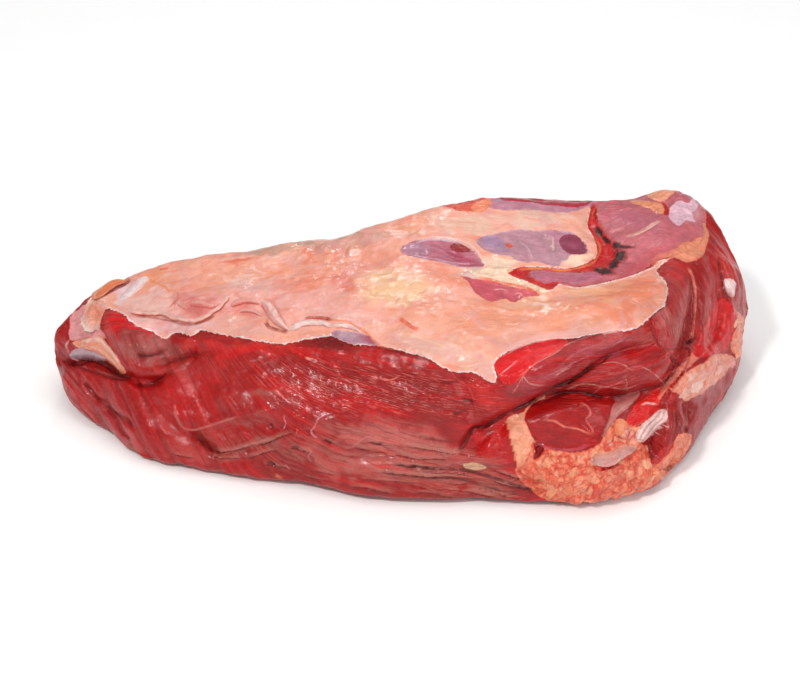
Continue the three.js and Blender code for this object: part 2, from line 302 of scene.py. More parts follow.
def smooth_path(path, closed=False):
    steps = 4 * len(path)
    shares = np.arange(steps) / steps if closed else np.linspace(0, 1, steps)
    return catmull(path, shares, closed)


def near_mask(path, spots, reach):
    low, high = path.min(axis=0) - reach, path.max(axis=0) + reach
    return np.all((spots > low) & (spots < high), axis=1)


def path_distance(path, spots, reach=FAR):
    """Distance in pixels from spots to a path, FAR where there is nothing near, and the share along it."""
    near = near_mask(path, spots, reach)
    best = np.full(len(spots), FAR)
    along = np.zeros(len(spots))
    close, share, at = best[near], along[near], spots[near]
    for i, (a, b) in enumerate(zip(path[:-1], path[1:])):
        run = b - a
        t = np.clip((at - a) @ run / (run @ run), 0, 1)
        distance = np.linalg.norm(at - a - t[:, None] * run, axis=1)
        nearer = distance < close
        close = np.where(nearer, distance, close)
        share = np.where(nearer, (i + t) / (len(path) - 1), share)
    best[near], along[near] = close, share
    return best, along


def path_side(path, spots, reach):
    """Distance to a path, the share along it, and 1 on its left or -1 on its right."""
    distance, along = path_distance(path, spots, reach)
    step = np.clip((along * (len(path) - 1)).astype(int), 0, len(path) - 2)
    run = path[step + 1] - path[step]
    away = spots - path[step]
    return distance, along, np.where(run[:, 0] * away[:, 1] - run[:, 1] * away[:, 0] > 0, 1, -1)


def depth_inside(outline, spots, reach=FAR):
    """Signed distance in pixels to a closed smooth outline, positive inside."""
    ring = smooth_path(outline, closed=True)
    ring = np.concatenate([ring, ring[:1]])
    distance, _ = path_distance(ring, spots, reach)
    near = near_mask(ring, spots, 0)
    x, y = spots[near].T
    inside = np.zeros(len(x), bool)
    for (ax, ay), (bx, by) in zip(ring[:-1], ring[1:]):
        if ay != by:
            inside ^= ((ay > y) != (by > y)) & (x < (bx - ax) * (y - ay) / (by - ay) + ax)
    signed = -distance
    signed[near] = np.where(inside, distance[near], signed[near])
    return signed


CREASE_TAPER = 0.12
CREASE_ENDS = 0.25
CREASE_REACH = 4


def crease(path, depth, half_width, sharp=False):
    """A furrow between two muscles, shallow towards its ends. A sharp one has a V-shaped section."""
    path = smooth_path(path)

    def height(spots, points):
        distance, along = path_distance(path, spots, CREASE_REACH * half_width)
        taper = smoothstep(0, CREASE_TAPER, along) * smoothstep(0, CREASE_TAPER, 1 - along)
        section = np.exp(-distance / half_width) if sharp else np.exp(-(distance / half_width) ** 2)
        return -depth * (CREASE_ENDS + (1 - CREASE_ENDS) * taper) * section

    return height


def ridge(path, rise, half_width):
    return crease(path, -rise, half_width)


LEDGE_DROP = 2.0
LEDGE_TAPER = 0.3
LEDGE_HOLLOW = 1.6
LEDGE_UNDERCUT = 1.7


def ledge_reach(edge, width, spots):
    """Signed distance below a ledge's edge, how far out of its reach that is, and its taper to both ends."""
    distance, along, side = path_side(smooth_path(edge), spots, width + 1)
    reach = np.where(side < 0, distance / width, distance / LEDGE_DROP)
    taper = smoothstep(0, LEDGE_TAPER, along) * smoothstep(0, LEDGE_TAPER, 1 - along)
    return distance * side, reach, taper


def ledge(edge, width, rise):
    """A torn shelf, which rises over its width to its lower edge and drops off there."""
    def height(spots, points):
        offset, reach, taper = ledge_reach(edge, width, spots)
        slope = np.clip(1 - reach, 0, 1)
        below = slope - LEDGE_UNDERCUT * slope ** 2 * (reach < 1)
        return rise * taper * np.where(offset < 0, slope ** LEDGE_HOLLOW, below)

    return height


def swell(centre, radii, turn, rise):
    """A rounded swell over an ellipse, turned clockwise in degrees."""
    def height(spots, points):
        return rise * np.clip(1 - ellipse_reach(centre, radii, turn, spots), 0, 1) ** 1.5

    return height


def ellipse_reach(centre, radii, turn, spots):
    angle = math.radians(turn)
    x, y = (spots - centre).T
    across = x * math.cos(angle) + y * math.sin(angle)
    down = y * math.cos(angle) - x * math.sin(angle)
    return (across / radii[0]) ** 2 + (down / radii[1]) ** 2


def plateau(outline, rise, soft):
    """A level step inside an outline, up or down."""
    def height(spots, points):
        return rise * smoothstep(-soft, soft, depth_inside(outline, spots, soft + 2))

    return height


def fading(feature, start, end):
    """A feature that fades away to the right between two columns of the picture."""
    def height(spots, points):
        return feature(spots, points) * (1 - smoothstep(start, end, spots[:, 0]))

    return height


# The share of small lobes beside the big ones, their size, and the pixels over which the fat fades in.
SMALL_SHARE = 0.35
SMALL_SIZE = 0.6
FAT_FADE = (-2, 6)
FAT_REACH = 8


def fat_lobes(outline, size, rise, seed):
    """Fat in rounded lobes inside an outline, half above the surface and half below."""
    def height(spots, points):
        inside = smoothstep(*FAT_FADE, depth_inside(outline, spots, FAT_REACH))
        shown = inside > 0
        result = np.zeros(len(spots))
        big = lobes(points[shown], size, seed)
        small = lobes(points[shown], size * SMALL_SIZE, seed + 1)
        result[shown] = inside[shown] * rise * ((1 - SMALL_SHARE) * big + SMALL_SHARE * small - 0.5)
        return result

    return height


# The layout of the shown side, in pixels of the picture frame. The pale membrane over
# the top reaches out to where it is cut off along the front and the cut end.
MEMBRANE = np.array([
    (84, 316), (90, 298), (118, 276), (150, 260), (240, 240), (360, 215), (440, 182), (560, 180),
    (594, 184), (591, 208), (588, 224), (594, 237), (598, 247), (597, 256), (591, 262), (568, 269),
    (540, 267), (515, 269), (508, 273), (526, 281), (548, 290), (560, 283), (580, 287), (614, 280),
    (632, 275), (653, 267), (654, 262), (671, 258), (660, 266), (657, 272), (665, 281), (668, 290),
    (666, 300), (665, 306), (657, 311), (651, 317), (643, 324), (632, 330), (614, 331), (603, 333),
    (580, 337), (566, 339), (539, 341), (515, 349), (499, 358), (494, 366), (497, 377), (494, 383),
    (486, 380), (479, 375), (472, 372), (454, 372), (444, 368), (427, 358), (408, 353), (398, 350),
    (379, 346), (360, 345), (347, 343), (338, 339), (331, 336), (309, 339), (296, 342), (281, 344),
    (265, 342), (252, 340), (235, 337), (224, 335), (210, 332), (201, 330), (192, 336), (181, 333),
    (172, 334), (165, 339), (152, 331), (139, 327), (129, 320), (123, 314), (110, 309), (104, 308),
    (98, 314),
], float)

RED = (172, 24, 36)
# The colour of the painted sheen on the muscle.
BROWN_SHEEN = (172, 104, 96)
PEACH = (243, 171, 150)
CLOT = (52, 12, 8)

# Outlines of the patches on the membrane and the muscle.
WINDOW_LEFT = [
    (400, 249), (408, 243), (428, 239), (449, 240), (463, 244), (474, 250), (479, 257), (484, 266),
    (473, 267), (456, 266), (435, 261), (414, 257), (403, 254),
]
WINDOW_MIDDLE = [
    (476, 241), (484, 236), (498, 233), (511, 230), (519, 229), (540, 230), (561, 231), (574, 233),
    (585, 244), (589, 252), (581, 254), (571, 256), (567, 261), (561, 261), (558, 267), (547, 264),
    (533, 261), (519, 262), (509, 256), (501, 255), (491, 253), (481, 247),
]
WINDOW_LOW = [
    (460, 275), (470, 277), (484, 280), (501, 284), (519, 288), (533, 291), (540, 296), (526, 296),
    (519, 301), (512, 302), (505, 299), (491, 302), (484, 299), (474, 291), (471, 286), (466, 280),
]
WINDOW_FRONT = [
    (332, 335), (335, 330), (348, 331), (360, 333), (371, 337), (379, 346), (360, 344), (348, 343),
    (340, 339),
]
TOP_STRIP = [
    (487, 196), (520, 190), (600, 190), (596, 205), (589, 207), (568, 212), (554, 212), (519, 210),
    (491, 208),
]
FLAT_MUSCLE = [
    (600, 190), (648, 188), (700, 190), (705, 232), (695, 240), (683, 242), (678, 249), (655, 257),
    (649, 266), (635, 274), (614, 280), (580, 287), (562, 284), (530, 276), (531, 272), (540, 270),
    (561, 272), (590, 271), (606, 268), (614, 256), (610, 243), (602, 232), (598, 216),
]
TORN_BAND = [
    (591, 200), (597, 204), (594, 216), (600, 224), (603, 232), (614, 244), (617, 254), (611, 264),
    (598, 270), (580, 271), (561, 272), (540, 270), (531, 272), (529, 277), (540, 281), (552, 281),
    (560, 281), (556, 287), (548, 290), (538, 287), (526, 281), (515, 277), (508, 273), (515, 269),
    (526, 267), (540, 267), (554, 269), (568, 269), (582, 265), (592, 261), (597, 255), (597, 246),
    (593, 236), (588, 224), (591, 212),
]
RED_LENS = [
    (494, 364), (499, 357), (507, 352), (517, 348), (534, 343), (558, 338), (567, 341), (565, 345),
    (554, 353), (541, 359), (531, 367), (523, 375), (515, 384), (506, 385), (499, 377),
]
TOP_BUMP = [
    (438, 203), (449, 195), (473, 192), (489, 196), (491, 202), (485, 211), (476, 212), (463, 211),
    (453, 209),
]
FAT_LEFT = [
    (506, 423), (511, 415), (523, 412), (533, 402), (545, 396), (541, 403), (530, 408), (526, 420),
    (531, 434), (535, 441), (529, 454), (523, 465), (518, 467), (515, 457), (510, 442), (509, 431),
]
FAT_BED = [
    (529, 436), (536, 441), (547, 448), (561, 451), (574, 452), (588, 449), (600, 443), (606, 430),
    (613, 418), (626, 424), (640, 426), (650, 418), (655, 420), (640, 442), (650, 446), (650, 462),
    (668, 468), (668, 474), (655, 484), (640, 494), (622, 503), (595, 506), (565, 509), (545, 500),
    (529, 489), (519, 478), (516, 468), (523, 465), (529, 454),
]
RED_WEDGE = [
    (629, 415), (636, 404), (640, 401), (653, 392), (661, 389), (658, 408), (651, 415), (640, 424),
    (626, 427),
]
RED_TRIANGLE = [
    (475, 453), (486, 442), (494, 431), (503, 420), (508, 429), (510, 441), (515, 461), (502, 456),
    (487, 458),
]
PINK_PAD = [
    (670, 391), (677, 383), (689, 370), (701, 363), (706, 361), (715, 354), (729, 355), (733, 360),
    (727, 370), (718, 381), (704, 392), (695, 399), (686, 401), (679, 394),
]
PAD_FOLD = [
    (664, 386), (672, 374), (684, 362), (692, 352), (700, 346), (706, 350), (696, 360), (684, 371),
    (674, 382), (664, 394), (658, 402), (656, 396),
]
END_FLAP = [
    (92, 294), (101, 287), (110, 280), (118, 276), (130, 278), (126, 281), (117, 286), (107, 292), (98, 298),
    (92, 301),
]
END_RAG = [
    (86, 304), (93, 300), (104, 299), (106, 307), (99, 313), (97, 321), (99, 327), (93, 327), (87, 331),
    (81, 323), (86, 316), (83, 310),
]
END_POCKET = [
    (71, 316), (78, 310), (86, 305), (82, 322), (87, 331), (98, 328), (105, 338), (95, 341), (83, 340),
    (70, 339),
]
END_BAND = [
    (77, 341), (86, 338), (98, 336), (109, 346), (117, 356), (125, 371), (122, 375), (112, 364), (103, 357),
    (92, 351), (79, 348), (72, 343),
]
END_LENS = [
    (70, 354), (78, 349), (90, 349), (101, 354), (107, 359), (98, 361), (86, 359), (73, 360),
]
CORNER_FAT = [
    (630, 202), (644, 200), (660, 203), (665, 210), (660, 214), (649, 208),
]
CORNER_FAT_TOP = [
    (648, 197), (652, 190), (675, 188), (673, 195), (662, 201),
]
CORNER_STRIP = [
    (693, 202), (699, 204), (703, 214), (708, 232), (707, 244), (703, 254), (696, 260), (686, 262),
    (678, 258), (662, 260), (652, 266), (655, 257), (668, 250), (683, 242), (694, 240), (702, 232),
    (698, 218),
]
EDGE_LOW_FAT = [
    (651, 468), (660, 462), (672, 450), (676, 437), (689, 432), (692, 440), (684, 455), (670, 476),
    (655, 480),
]
RIGHT_EDGE_FAT = [
    (728, 322), (736, 312), (744, 318), (750, 330), (745, 346), (737, 356), (731, 348), (733, 336),
]

# Each patch: (outline, colour, colour of its rim, rise in millimetres, lobed from 0 to 1).
PATCHES = [
    (WINDOW_LEFT, (186, 108, 124), (208, 168, 182), -0.9, 0),
    (WINDOW_MIDDLE, (194, 140, 152), (206, 176, 192), -0.8, 0),
    (WINDOW_LOW, (206, 92, 104), (234, 100, 76), -0.8, 0),
    (WINDOW_FRONT, (180, 128, 146), (206, 170, 184), -0.8, 0),
    (TOP_STRIP, (196, 134, 152), (214, 160, 160), -0.6, 0),
    (FLAT_MUSCLE, (200, 106, 114), (214, 110, 100), 0, 0),
    (TORN_BAND, (206, 44, 46), (236, 104, 66), -1.2, 0),
    (RED_LENS, (226, 42, 46), (240, 92, 70), 0.6, 0),
    (TOP_BUMP, (222, 78, 66), (232, 130, 100), 1.5, 0.3),
    (FAT_LEFT, (243, 164, 132), (236, 120, 96), 1.0, 0.3),
    (FAT_BED, (238, 124, 94), (226, 74, 58), 1.0, 1),
    (RED_WEDGE, (224, 36, 34), (232, 90, 74), -0.6, 0),
    (RED_TRIANGLE, (196, 32, 42), (190, 34, 40), 0.4, 0),
    (PINK_PAD, (232, 152, 132), (226, 96, 78), 1.6, 0.5),
    (PAD_FOLD, (226, 122, 104), (210, 70, 60), 1.0, 0),
    (END_FLAP, (236, 138, 100), (240, 170, 134), 0.8, 0),
    (END_RAG, (236, 172, 150), (248, 214, 200), 0.8, 0),
    (END_POCKET, (232, 156, 156), (222, 120, 116), -0.6, 0),
    (END_BAND, (240, 146, 116), (244, 170, 140), 0.9, 0),
    (END_LENS, (176, 144, 158), (206, 166, 172), 0.4, 0),
    (CORNER_STRIP, (236, 146, 114), (222, 90, 68), 0.5, 0.2),
    (EDGE_LOW_FAT, (236, 136, 106), (228, 80, 64), 0.6, 0.8),
    (RIGHT_EDGE_FAT, (234, 142, 118), (222, 80, 66), 0.5, 0.5),
]

# Outlines of the marks inside the patches and on the muscle.
OVAL_LEFT = [(450, 247), (456, 243), (465, 245), (471, 250), (462, 252), (454, 251)]
OVAL_MIDDLE = [(559, 243), (562, 236), (572, 234), (580, 238), (586, 246), (586, 253), (576, 255), (565, 251)]
TOP_RED = [
    (500, 199), (506, 190), (560, 188), (592, 196), (589, 204), (575, 207), (554, 205), (540, 204),
    (519, 202),
]
RED_SPOT = [(506, 244), (510, 243), (513, 246), (510, 248), (507, 247)]
ORANGE_TIP = [(474, 204), (487, 198), (492, 202), (486, 210), (477, 212), (472, 209)]
RED_NOTCH = [(662, 201), (668, 207), (670, 214), (664, 215), (663, 208)]
GLOSS_LILAC = [
    (668, 214), (671, 206), (679, 201), (688, 203), (693, 198), (698, 206), (692, 214), (696, 222),
    (686, 220), (680, 226), (672, 221),
]
MAUVE_LENS = [
    (530, 277), (532, 272), (542, 270), (562, 272), (600, 272), (598, 279), (574, 284), (560, 281),
    (545, 283),
]
NODULE = [(348, 252), (352, 249), (359, 250), (361, 252), (355, 256), (349, 256)]
WHITE_SPOT = [(723, 280), (729, 278), (735, 283), (734, 292), (732, 297), (728, 294), (724, 287)]
TENDON = [
    (659, 410), (666, 408), (667, 419), (660, 424), (653, 433), (648, 436), (640, 442), (636, 437),
    (641, 426), (649, 418),
]
TAG = [
    (590, 458), (597, 454), (612, 452), (620, 447), (636, 446), (632, 452), (622, 458), (614, 464),
    (604, 466), (594, 464),
]
TAG_RED = [(594, 466), (604, 467), (614, 465), (612, 469), (604, 471), (596, 469)]
EYE_MEAT = [
    (525, 417), (530, 408), (535, 403), (545, 399), (558, 397), (574, 396), (590, 396), (603, 398),
    (613, 397), (619, 404), (612, 415), (605, 428), (600, 440), (590, 446), (574, 450), (560, 449),
    (547, 446), (535, 439), (529, 429),
]
EYE_FILM = [
    (612, 400), (620, 396), (632, 392), (640, 392), (632, 404), (618, 416), (610, 428), (603, 438),
    (606, 426), (613, 414), (620, 404),
]
DARK_MUSCLE_IN = [
    (651, 437), (660, 425), (667, 418), (668, 404), (673, 400), (679, 406), (680, 422), (678, 436),
    (670, 445), (660, 451), (651, 460), (648, 448),
]
DARK_MUSCLE_OUT = [
    (684, 404), (700, 395), (716, 387), (720, 392), (716, 404), (709, 417), (697, 432), (690, 434),
    (682, 428),
]
FAT_HOLE = [(534, 444), (541, 442), (544, 449), (538, 458), (532, 460), (535, 452)]
PALE_CHIP = [(463, 465), (471, 463), (481, 465), (486, 469), (475, 471), (466, 470)]
RED_SHEET_RIGHT = [
    (713, 310), (722, 298), (732, 305), (738, 318), (734, 336), (726, 350), (712, 354), (700, 358),
    (692, 352), (700, 336),
]
CREAM_STRIP = [
    (467, 270), (480, 270), (500, 266), (514, 269), (508, 274), (526, 282), (548, 291), (540, 293),
    (520, 287), (500, 283), (484, 279),
]

# Each mark: (outline, colour, rise in millimetres, lobed from 0 to 1).
MARKS = [
    (OVAL_LEFT, (150, 30, 48), -0.3, 0),
    (OVAL_MIDDLE, (150, 66, 88), -0.4, 0),
    (TOP_RED, (184, 58, 72), 0.4, 0),
    (RED_SPOT, (222, 96, 78), 0, 0),
    (ORANGE_TIP, (238, 142, 108), 0.3, 0),
    (CORNER_FAT, (243, 154, 116), 0.8, 0),
    (CORNER_FAT_TOP, (243, 162, 128), 0.8, 0),
    (RED_NOTCH, (196, 34, 34), -0.5, 0),
    (GLOSS_LILAC, (236, 188, 202), 0.7, 0.4),
    (MAUVE_LENS, (198, 112, 132), 0.6, 0),
    (NODULE, (252, 206, 194), 1.6, 0),
    (WHITE_SPOT, (250, 206, 204), 1.2, 0),
    (TENDON, (250, 204, 200), 1.6, 0),
    (TAG, (214, 162, 150), 1.8, 0),
    (TAG_RED, (206, 24, 20), -1.2, 0),
    (EYE_MEAT, (172, 26, 38), 0, 0),
    (EYE_FILM, (196, 122, 122), 0.6, 0),
    (DARK_MUSCLE_IN, (158, 28, 38), 0, 0),
    (DARK_MUSCLE_OUT, (164, 22, 28), 0, 0),
    (FAT_HOLE, (150, 30, 28), -1.5, 0),
    (PALE_CHIP, (222, 170, 138), 0.8, 0),
    (RED_SHEET_RIGHT, (208, 30, 34), 0.4, 0),
    (CREAM_STRIP, (246, 208, 180), 0.5, 0),
]

# Lines of the narrow end that several tables below share.
TORN_EDGE = [
    (126, 313), (140, 315), (153, 316), (162, 315), (170, 319), (178, 321), (190, 323), (199, 322),
    (208, 318), (214, 313), (221, 309), (224, 304), (233, 296),
]
LONG_FOLD = [(82, 381), (88, 388), (97, 398), (105, 402), (114, 411), (126, 419), (134, 428)]
LOW_FOLD = [(102, 405), (114, 417), (121, 431), (131, 440)]
LIP_FOLD = [(131, 382), (142, 386), (152, 384), (162, 378), (175, 369)]

# Thin lines of connective tissue, fat and blood, and one painted highlight: (path, half width in pixels,
# colour, strength).
SINEW = (212, 140, 150)
SEAM_FAT = (240, 176, 160)
THIN_LINES = [
    ([
        (565, 390), (575, 386), (585, 384), (602, 386), (614, 388), (625, 389), (640, 384),
    ], 0.6, SEAM_FAT, 0.5),
    ([(625, 375), (627, 384), (625, 391)], 0.5, SEAM_FAT, 0.6),
    ([(522, 374), (526, 380), (531, 384), (547, 386)], 0.6, SEAM_FAT, 0.5),
    ([(553, 378), (563, 371), (572, 367)], 0.5, SEAM_FAT, 0.5),
    ([(596, 366), (610, 362), (622, 364), (634, 372)], 0.5, SEAM_FAT, 0.5),
    ([(640, 366), (652, 372), (664, 384), (668, 396)], 0.6, SEAM_FAT, 0.5),
    ([(577, 404), (583, 403), (589, 407), (591, 414), (586, 420)], 0.4, SEAM_FAT, 0.4),
    ([(502, 353), (520, 344), (545, 337), (575, 333), (602, 331), (630, 326)], 2.6, (244, 182, 174), 0.8),
    ([(285, 414), (284, 419), (286, 424), (282, 431)], 0.6, SINEW, 0.8),
    ([(333, 413), (325, 415), (318, 419), (315, 426), (311, 431), (314, 436), (319, 438)], 0.7, SINEW, 0.8),
    ([(309, 447), (311, 452), (308, 457), (313, 463)], 0.5, SINEW, 0.6),
    ([(285, 463), (288, 468), (291, 470)], 0.5, SINEW, 0.5),
    ([(352, 448), (357, 443), (364, 438), (371, 436)], 0.6, SINEW, 0.6),
    ([(341, 414), (349, 418), (358, 423), (372, 425), (384, 431), (396, 435)], 0.7, (150, 70, 76), 0.7),
    ([(377, 378), (390, 380), (401, 375)], 0.8, (232, 130, 120), 0.7),
    ([(390, 380), (393, 386)], 0.8, (232, 130, 120), 0.7),
    ([(304, 357), (312, 360)], 1.0, (236, 170, 150), 0.8),
    ([
        (451, 371), (456, 378), (467, 386), (472, 394), (474, 402), (477, 411), (482, 418),
    ], 0.45, (216, 96, 88), 0.6),
    ([
        (600, 333), (581, 339), (566, 345), (557, 352), (542, 360), (531, 367), (523, 376), (517, 387),
        (511, 395),
    ], 0.45, (236, 160, 154), 0.6),
    ([(542, 420), (554, 421), (565, 427), (578, 429), (594, 436)], 0.9, (236, 130, 110), 0.8),
    ([(578, 403), (587, 406), (590, 414), (586, 420), (592, 429), (594, 435)], 0.8, (226, 110, 100), 0.7),
    ([(535, 441), (548, 448), (562, 450), (578, 449), (592, 443)], 1.2, (196, 76, 88), 0.7),
    ([(624, 237), (635, 234), (647, 228), (653, 224), (663, 220)], 1.1, (236, 176, 156), 0.85),
    ([(553, 236), (553, 244), (554, 252)], 0.9, (238, 196, 176), 0.8),
    ([(546, 233), (545, 237)], 0.7, (238, 196, 176), 0.7),
    ([(520, 242), (528, 248), (534, 261)], 0.5, (222, 190, 206), 0.6),
    # A painted highlight along the top rim of the left window.
    ([(425, 236), (449, 238), (466, 243), (477, 251), (484, 264)], 0.8, (246, 222, 220), 0.7),
    ([(408, 245), (428, 240), (449, 241), (462, 246)], 0.6, (222, 190, 206), 0.6),
    ([(404, 253), (430, 258), (456, 263), (478, 264)], 0.6, (214, 170, 190), 0.6),
    ([(430, 246), (441, 250), (452, 257), (466, 260)], 0.5, (206, 150, 172), 0.5),
    ([(471, 275), (500, 282), (524, 287), (542, 294)], 1.0, (236, 104, 64), 0.8),
    ([(492, 290), (500, 289), (507, 290)], 0.5, (236, 180, 180), 0.7),
    ([(514, 295), (519, 293), (525, 297)], 0.6, (236, 160, 160), 0.6),
    ([
        (594, 237), (600, 247), (597, 258), (588, 265), (566, 270), (540, 268), (515, 270),
    ], 0.9, (244, 150, 96), 0.7),
    ([(687, 266), (692, 275), (695, 289), (695, 306), (693, 329), (691, 341)], 1.1, (232, 130, 112), 0.8),
    ([(640, 405), (648, 403), (658, 405)], 0.9, (246, 200, 190), 0.9),
    ([(580, 392), (591, 395), (600, 388), (612, 386), (626, 379)], 0.6, SINEW, 0.5),
    ([(541, 379), (560, 370), (580, 360), (598, 352)], 0.5, SINEW, 0.5),
    ([(596, 350), (612, 346), (628, 336)], 0.7, (206, 130, 140), 0.6),
    ([(70, 339), (66, 346), (70, 354)], 0.9, (226, 160, 160), 0.8),
    ([(147, 278), (156, 283), (165, 287), (170, 291), (178, 288)], 0.9, (238, 146, 92), 0.9),
    ([(178, 290), (178, 298), (173, 304), (168, 308)], 0.8, (226, 110, 100), 0.8),
    (TORN_EDGE, 0.9, (238, 126, 108), 0.8),
    ([(190, 298), (200, 303), (210, 306), (222, 304)], 1.0, (232, 110, 96), 0.7),
    ([(176, 302), (182, 308), (190, 310)], 0.9, (226, 110, 106), 0.6),
    ([(232, 313), (242, 309), (250, 303), (262, 305)], 0.8, (230, 110, 104), 0.6),
    ([
        (303, 315), (325, 319), (348, 322), (355, 326), (367, 333), (374, 341), (381, 346), (399, 350),
    ], 0.9, (238, 130, 88), 0.8),
    ([(220, 262), (233, 261), (258, 257)], 0.9, (230, 106, 70), 0.7),
    ([(398, 317), (405, 322), (412, 327), (420, 330)], 1.5, (228, 82, 60), 0.75),
    ([(158, 270), (164, 269), (170, 268)], 0.9, (230, 96, 50), 0.8),
    ([(404, 332), (420, 338), (440, 345), (447, 349)], 0.7, (244, 206, 170), 0.7),
    ([(458, 330), (472, 320), (488, 312)], 0.7, (240, 150, 110), 0.6),
    ([
        (175, 402), (175, 413), (182, 427), (193, 430), (205, 427), (224, 421), (240, 416),
    ], 1.0, (204, 110, 104), 0.7),
    ([(220, 455), (252, 444), (281, 436)], 1.0, (196, 120, 108), 0.7),
    ([(274, 474), (284, 479)], 1.2, (240, 130, 100), 0.8),
]

# Painted shade in deep dark slits, creases and holes, and painted shadow under torn edges: (path, half width
# in pixels, colour, strength).
SLIT_SHADE = (96, 6, 16)
SHADE_LINES = [
    ([(93, 301), (107, 293), (126, 283), (130, 280)], 1.3, (150, 30, 24), 0.9),
    ([(66, 361), (77, 365), (90, 360), (106, 364), (114, 372), (126, 377), (136, 378)], 1.6, SLIT_SHADE, 0.9),
    ([(77, 366), (90, 371), (104, 376), (116, 379), (135, 380)], 0.9, SLIT_SHADE, 0.7),
    ([(304, 319), (312, 318), (322, 318), (332, 320)], 1.3, (170, 20, 28), 1),
    ([(265, 321), (269, 327), (278, 330), (289, 333)], 1.2, (150, 50, 44), 0.8),
    ([(128, 315), (153, 318), (170, 321), (190, 325), (208, 320), (216, 314)], 0.7, (196, 96, 90), 0.6),
    ([
        (60, 359), (72, 363), (79, 364), (84, 361), (92, 360), (102, 364), (111, 369), (119, 374),
        (134, 378),
    ], 1.2, SLIT_SHADE, 0.9),
    (LONG_FOLD, 0.8, SLIT_SHADE, 0.6),
    (LOW_FOLD, 0.7, SLIT_SHADE, 0.5),
    (LIP_FOLD, 0.9, (110, 20, 30), 0.7),
    ([(137, 356), (149, 356), (162, 354)], 0.8, (110, 16, 26), 0.7),
    ([(160, 366), (175, 361), (188, 357), (200, 353)], 0.8, (110, 20, 30), 0.6),
    ([(188, 431), (200, 440), (213, 450), (221, 453)], 0.8, SLIT_SHADE, 0.6),
    ([(439, 382), (450, 383), (459, 382)], 0.8, SLIT_SHADE, 0.7),
    ([(451, 414), (460, 412), (470, 410)], 0.9, SLIT_SHADE, 0.7),
    ([(460, 399), (468, 400), (474, 402)], 1.0, SLIT_SHADE, 0.8),
    ([(400, 465), (430, 468), (464, 470), (494, 478), (521, 487), (541, 493)], 1.2, SLIT_SHADE, 0.8),
    ([(420, 478), (454, 478), (494, 489), (534, 498)], 0.9, SLIT_SHADE, 0.6),
    ([(367, 442), (376, 444), (384, 443)], 0.9, SLIT_SHADE, 0.7),
    ([(390, 463), (406, 466), (420, 468)], 1.0, SLIT_SHADE, 0.7),
    ([(323, 438), (331, 443)], 0.9, SLIT_SHADE, 0.8),
    ([(291, 448), (296, 447), (300, 450)], 1.2, SLIT_SHADE, 0.8),
    ([(266, 465), (271, 463), (276, 466)], 1.1, SLIT_SHADE, 0.8),
    ([(270, 424), (273, 428)], 1.4, (110, 50, 70), 0.8),
    ([(675, 410), (678, 422), (677, 436)], 1.1, SLIT_SHADE, 0.8),
    ([(683, 427), (688, 431)], 1.5, SLIT_SHADE, 0.8),
    ([(718, 254), (720, 272), (724, 283), (725, 293), (731, 301)], 1.2, SLIT_SHADE, 0.8),
    ([(686, 339), (690, 344)], 2.0, (60, 10, 16), 0.9),
    ([(668, 352), (676, 362), (684, 366)], 1.1, SLIT_SHADE, 0.7),
    ([(588, 366), (600, 364), (612, 352)], 0.9, SLIT_SHADE, 0.7),
    ([(550, 494), (554, 496)], 1.6, (60, 10, 16), 0.9),
    ([
        (459, 450), (464, 445), (470, 433), (475, 427), (486, 426), (499, 418), (508, 412),
    ], 1.3, (60, 6, 14), 0.8),
    ([
        (508, 412), (527, 404), (541, 396), (558, 386), (572, 380), (585, 372), (600, 362),
    ], 1.3, (60, 6, 14), 0.8),
    ([(548, 397), (562, 392), (580, 392), (596, 396), (606, 397)], 1.2, (60, 6, 14), 0.8),
    ([(606, 397), (628, 395), (644, 389), (660, 385), (668, 378), (675, 370)], 0.9, (110, 10, 20), 0.7),
]

# Blotches of blood that has dried dark, as (centre, radii, turn).
CLOTS = [
    ((599, 232), (5, 3), 50),
    ((606, 240), (5, 2.2), 40),
    ((617, 246), (4, 3), 20),
    ((624, 247), (9, 1.2), 4),
    ((620, 256), (5, 5), 60),
    ((614, 264), (6, 3.4), 130),
    ((604, 271), (8, 3), 10),
    ((597, 270), (3, 2), 0),
]
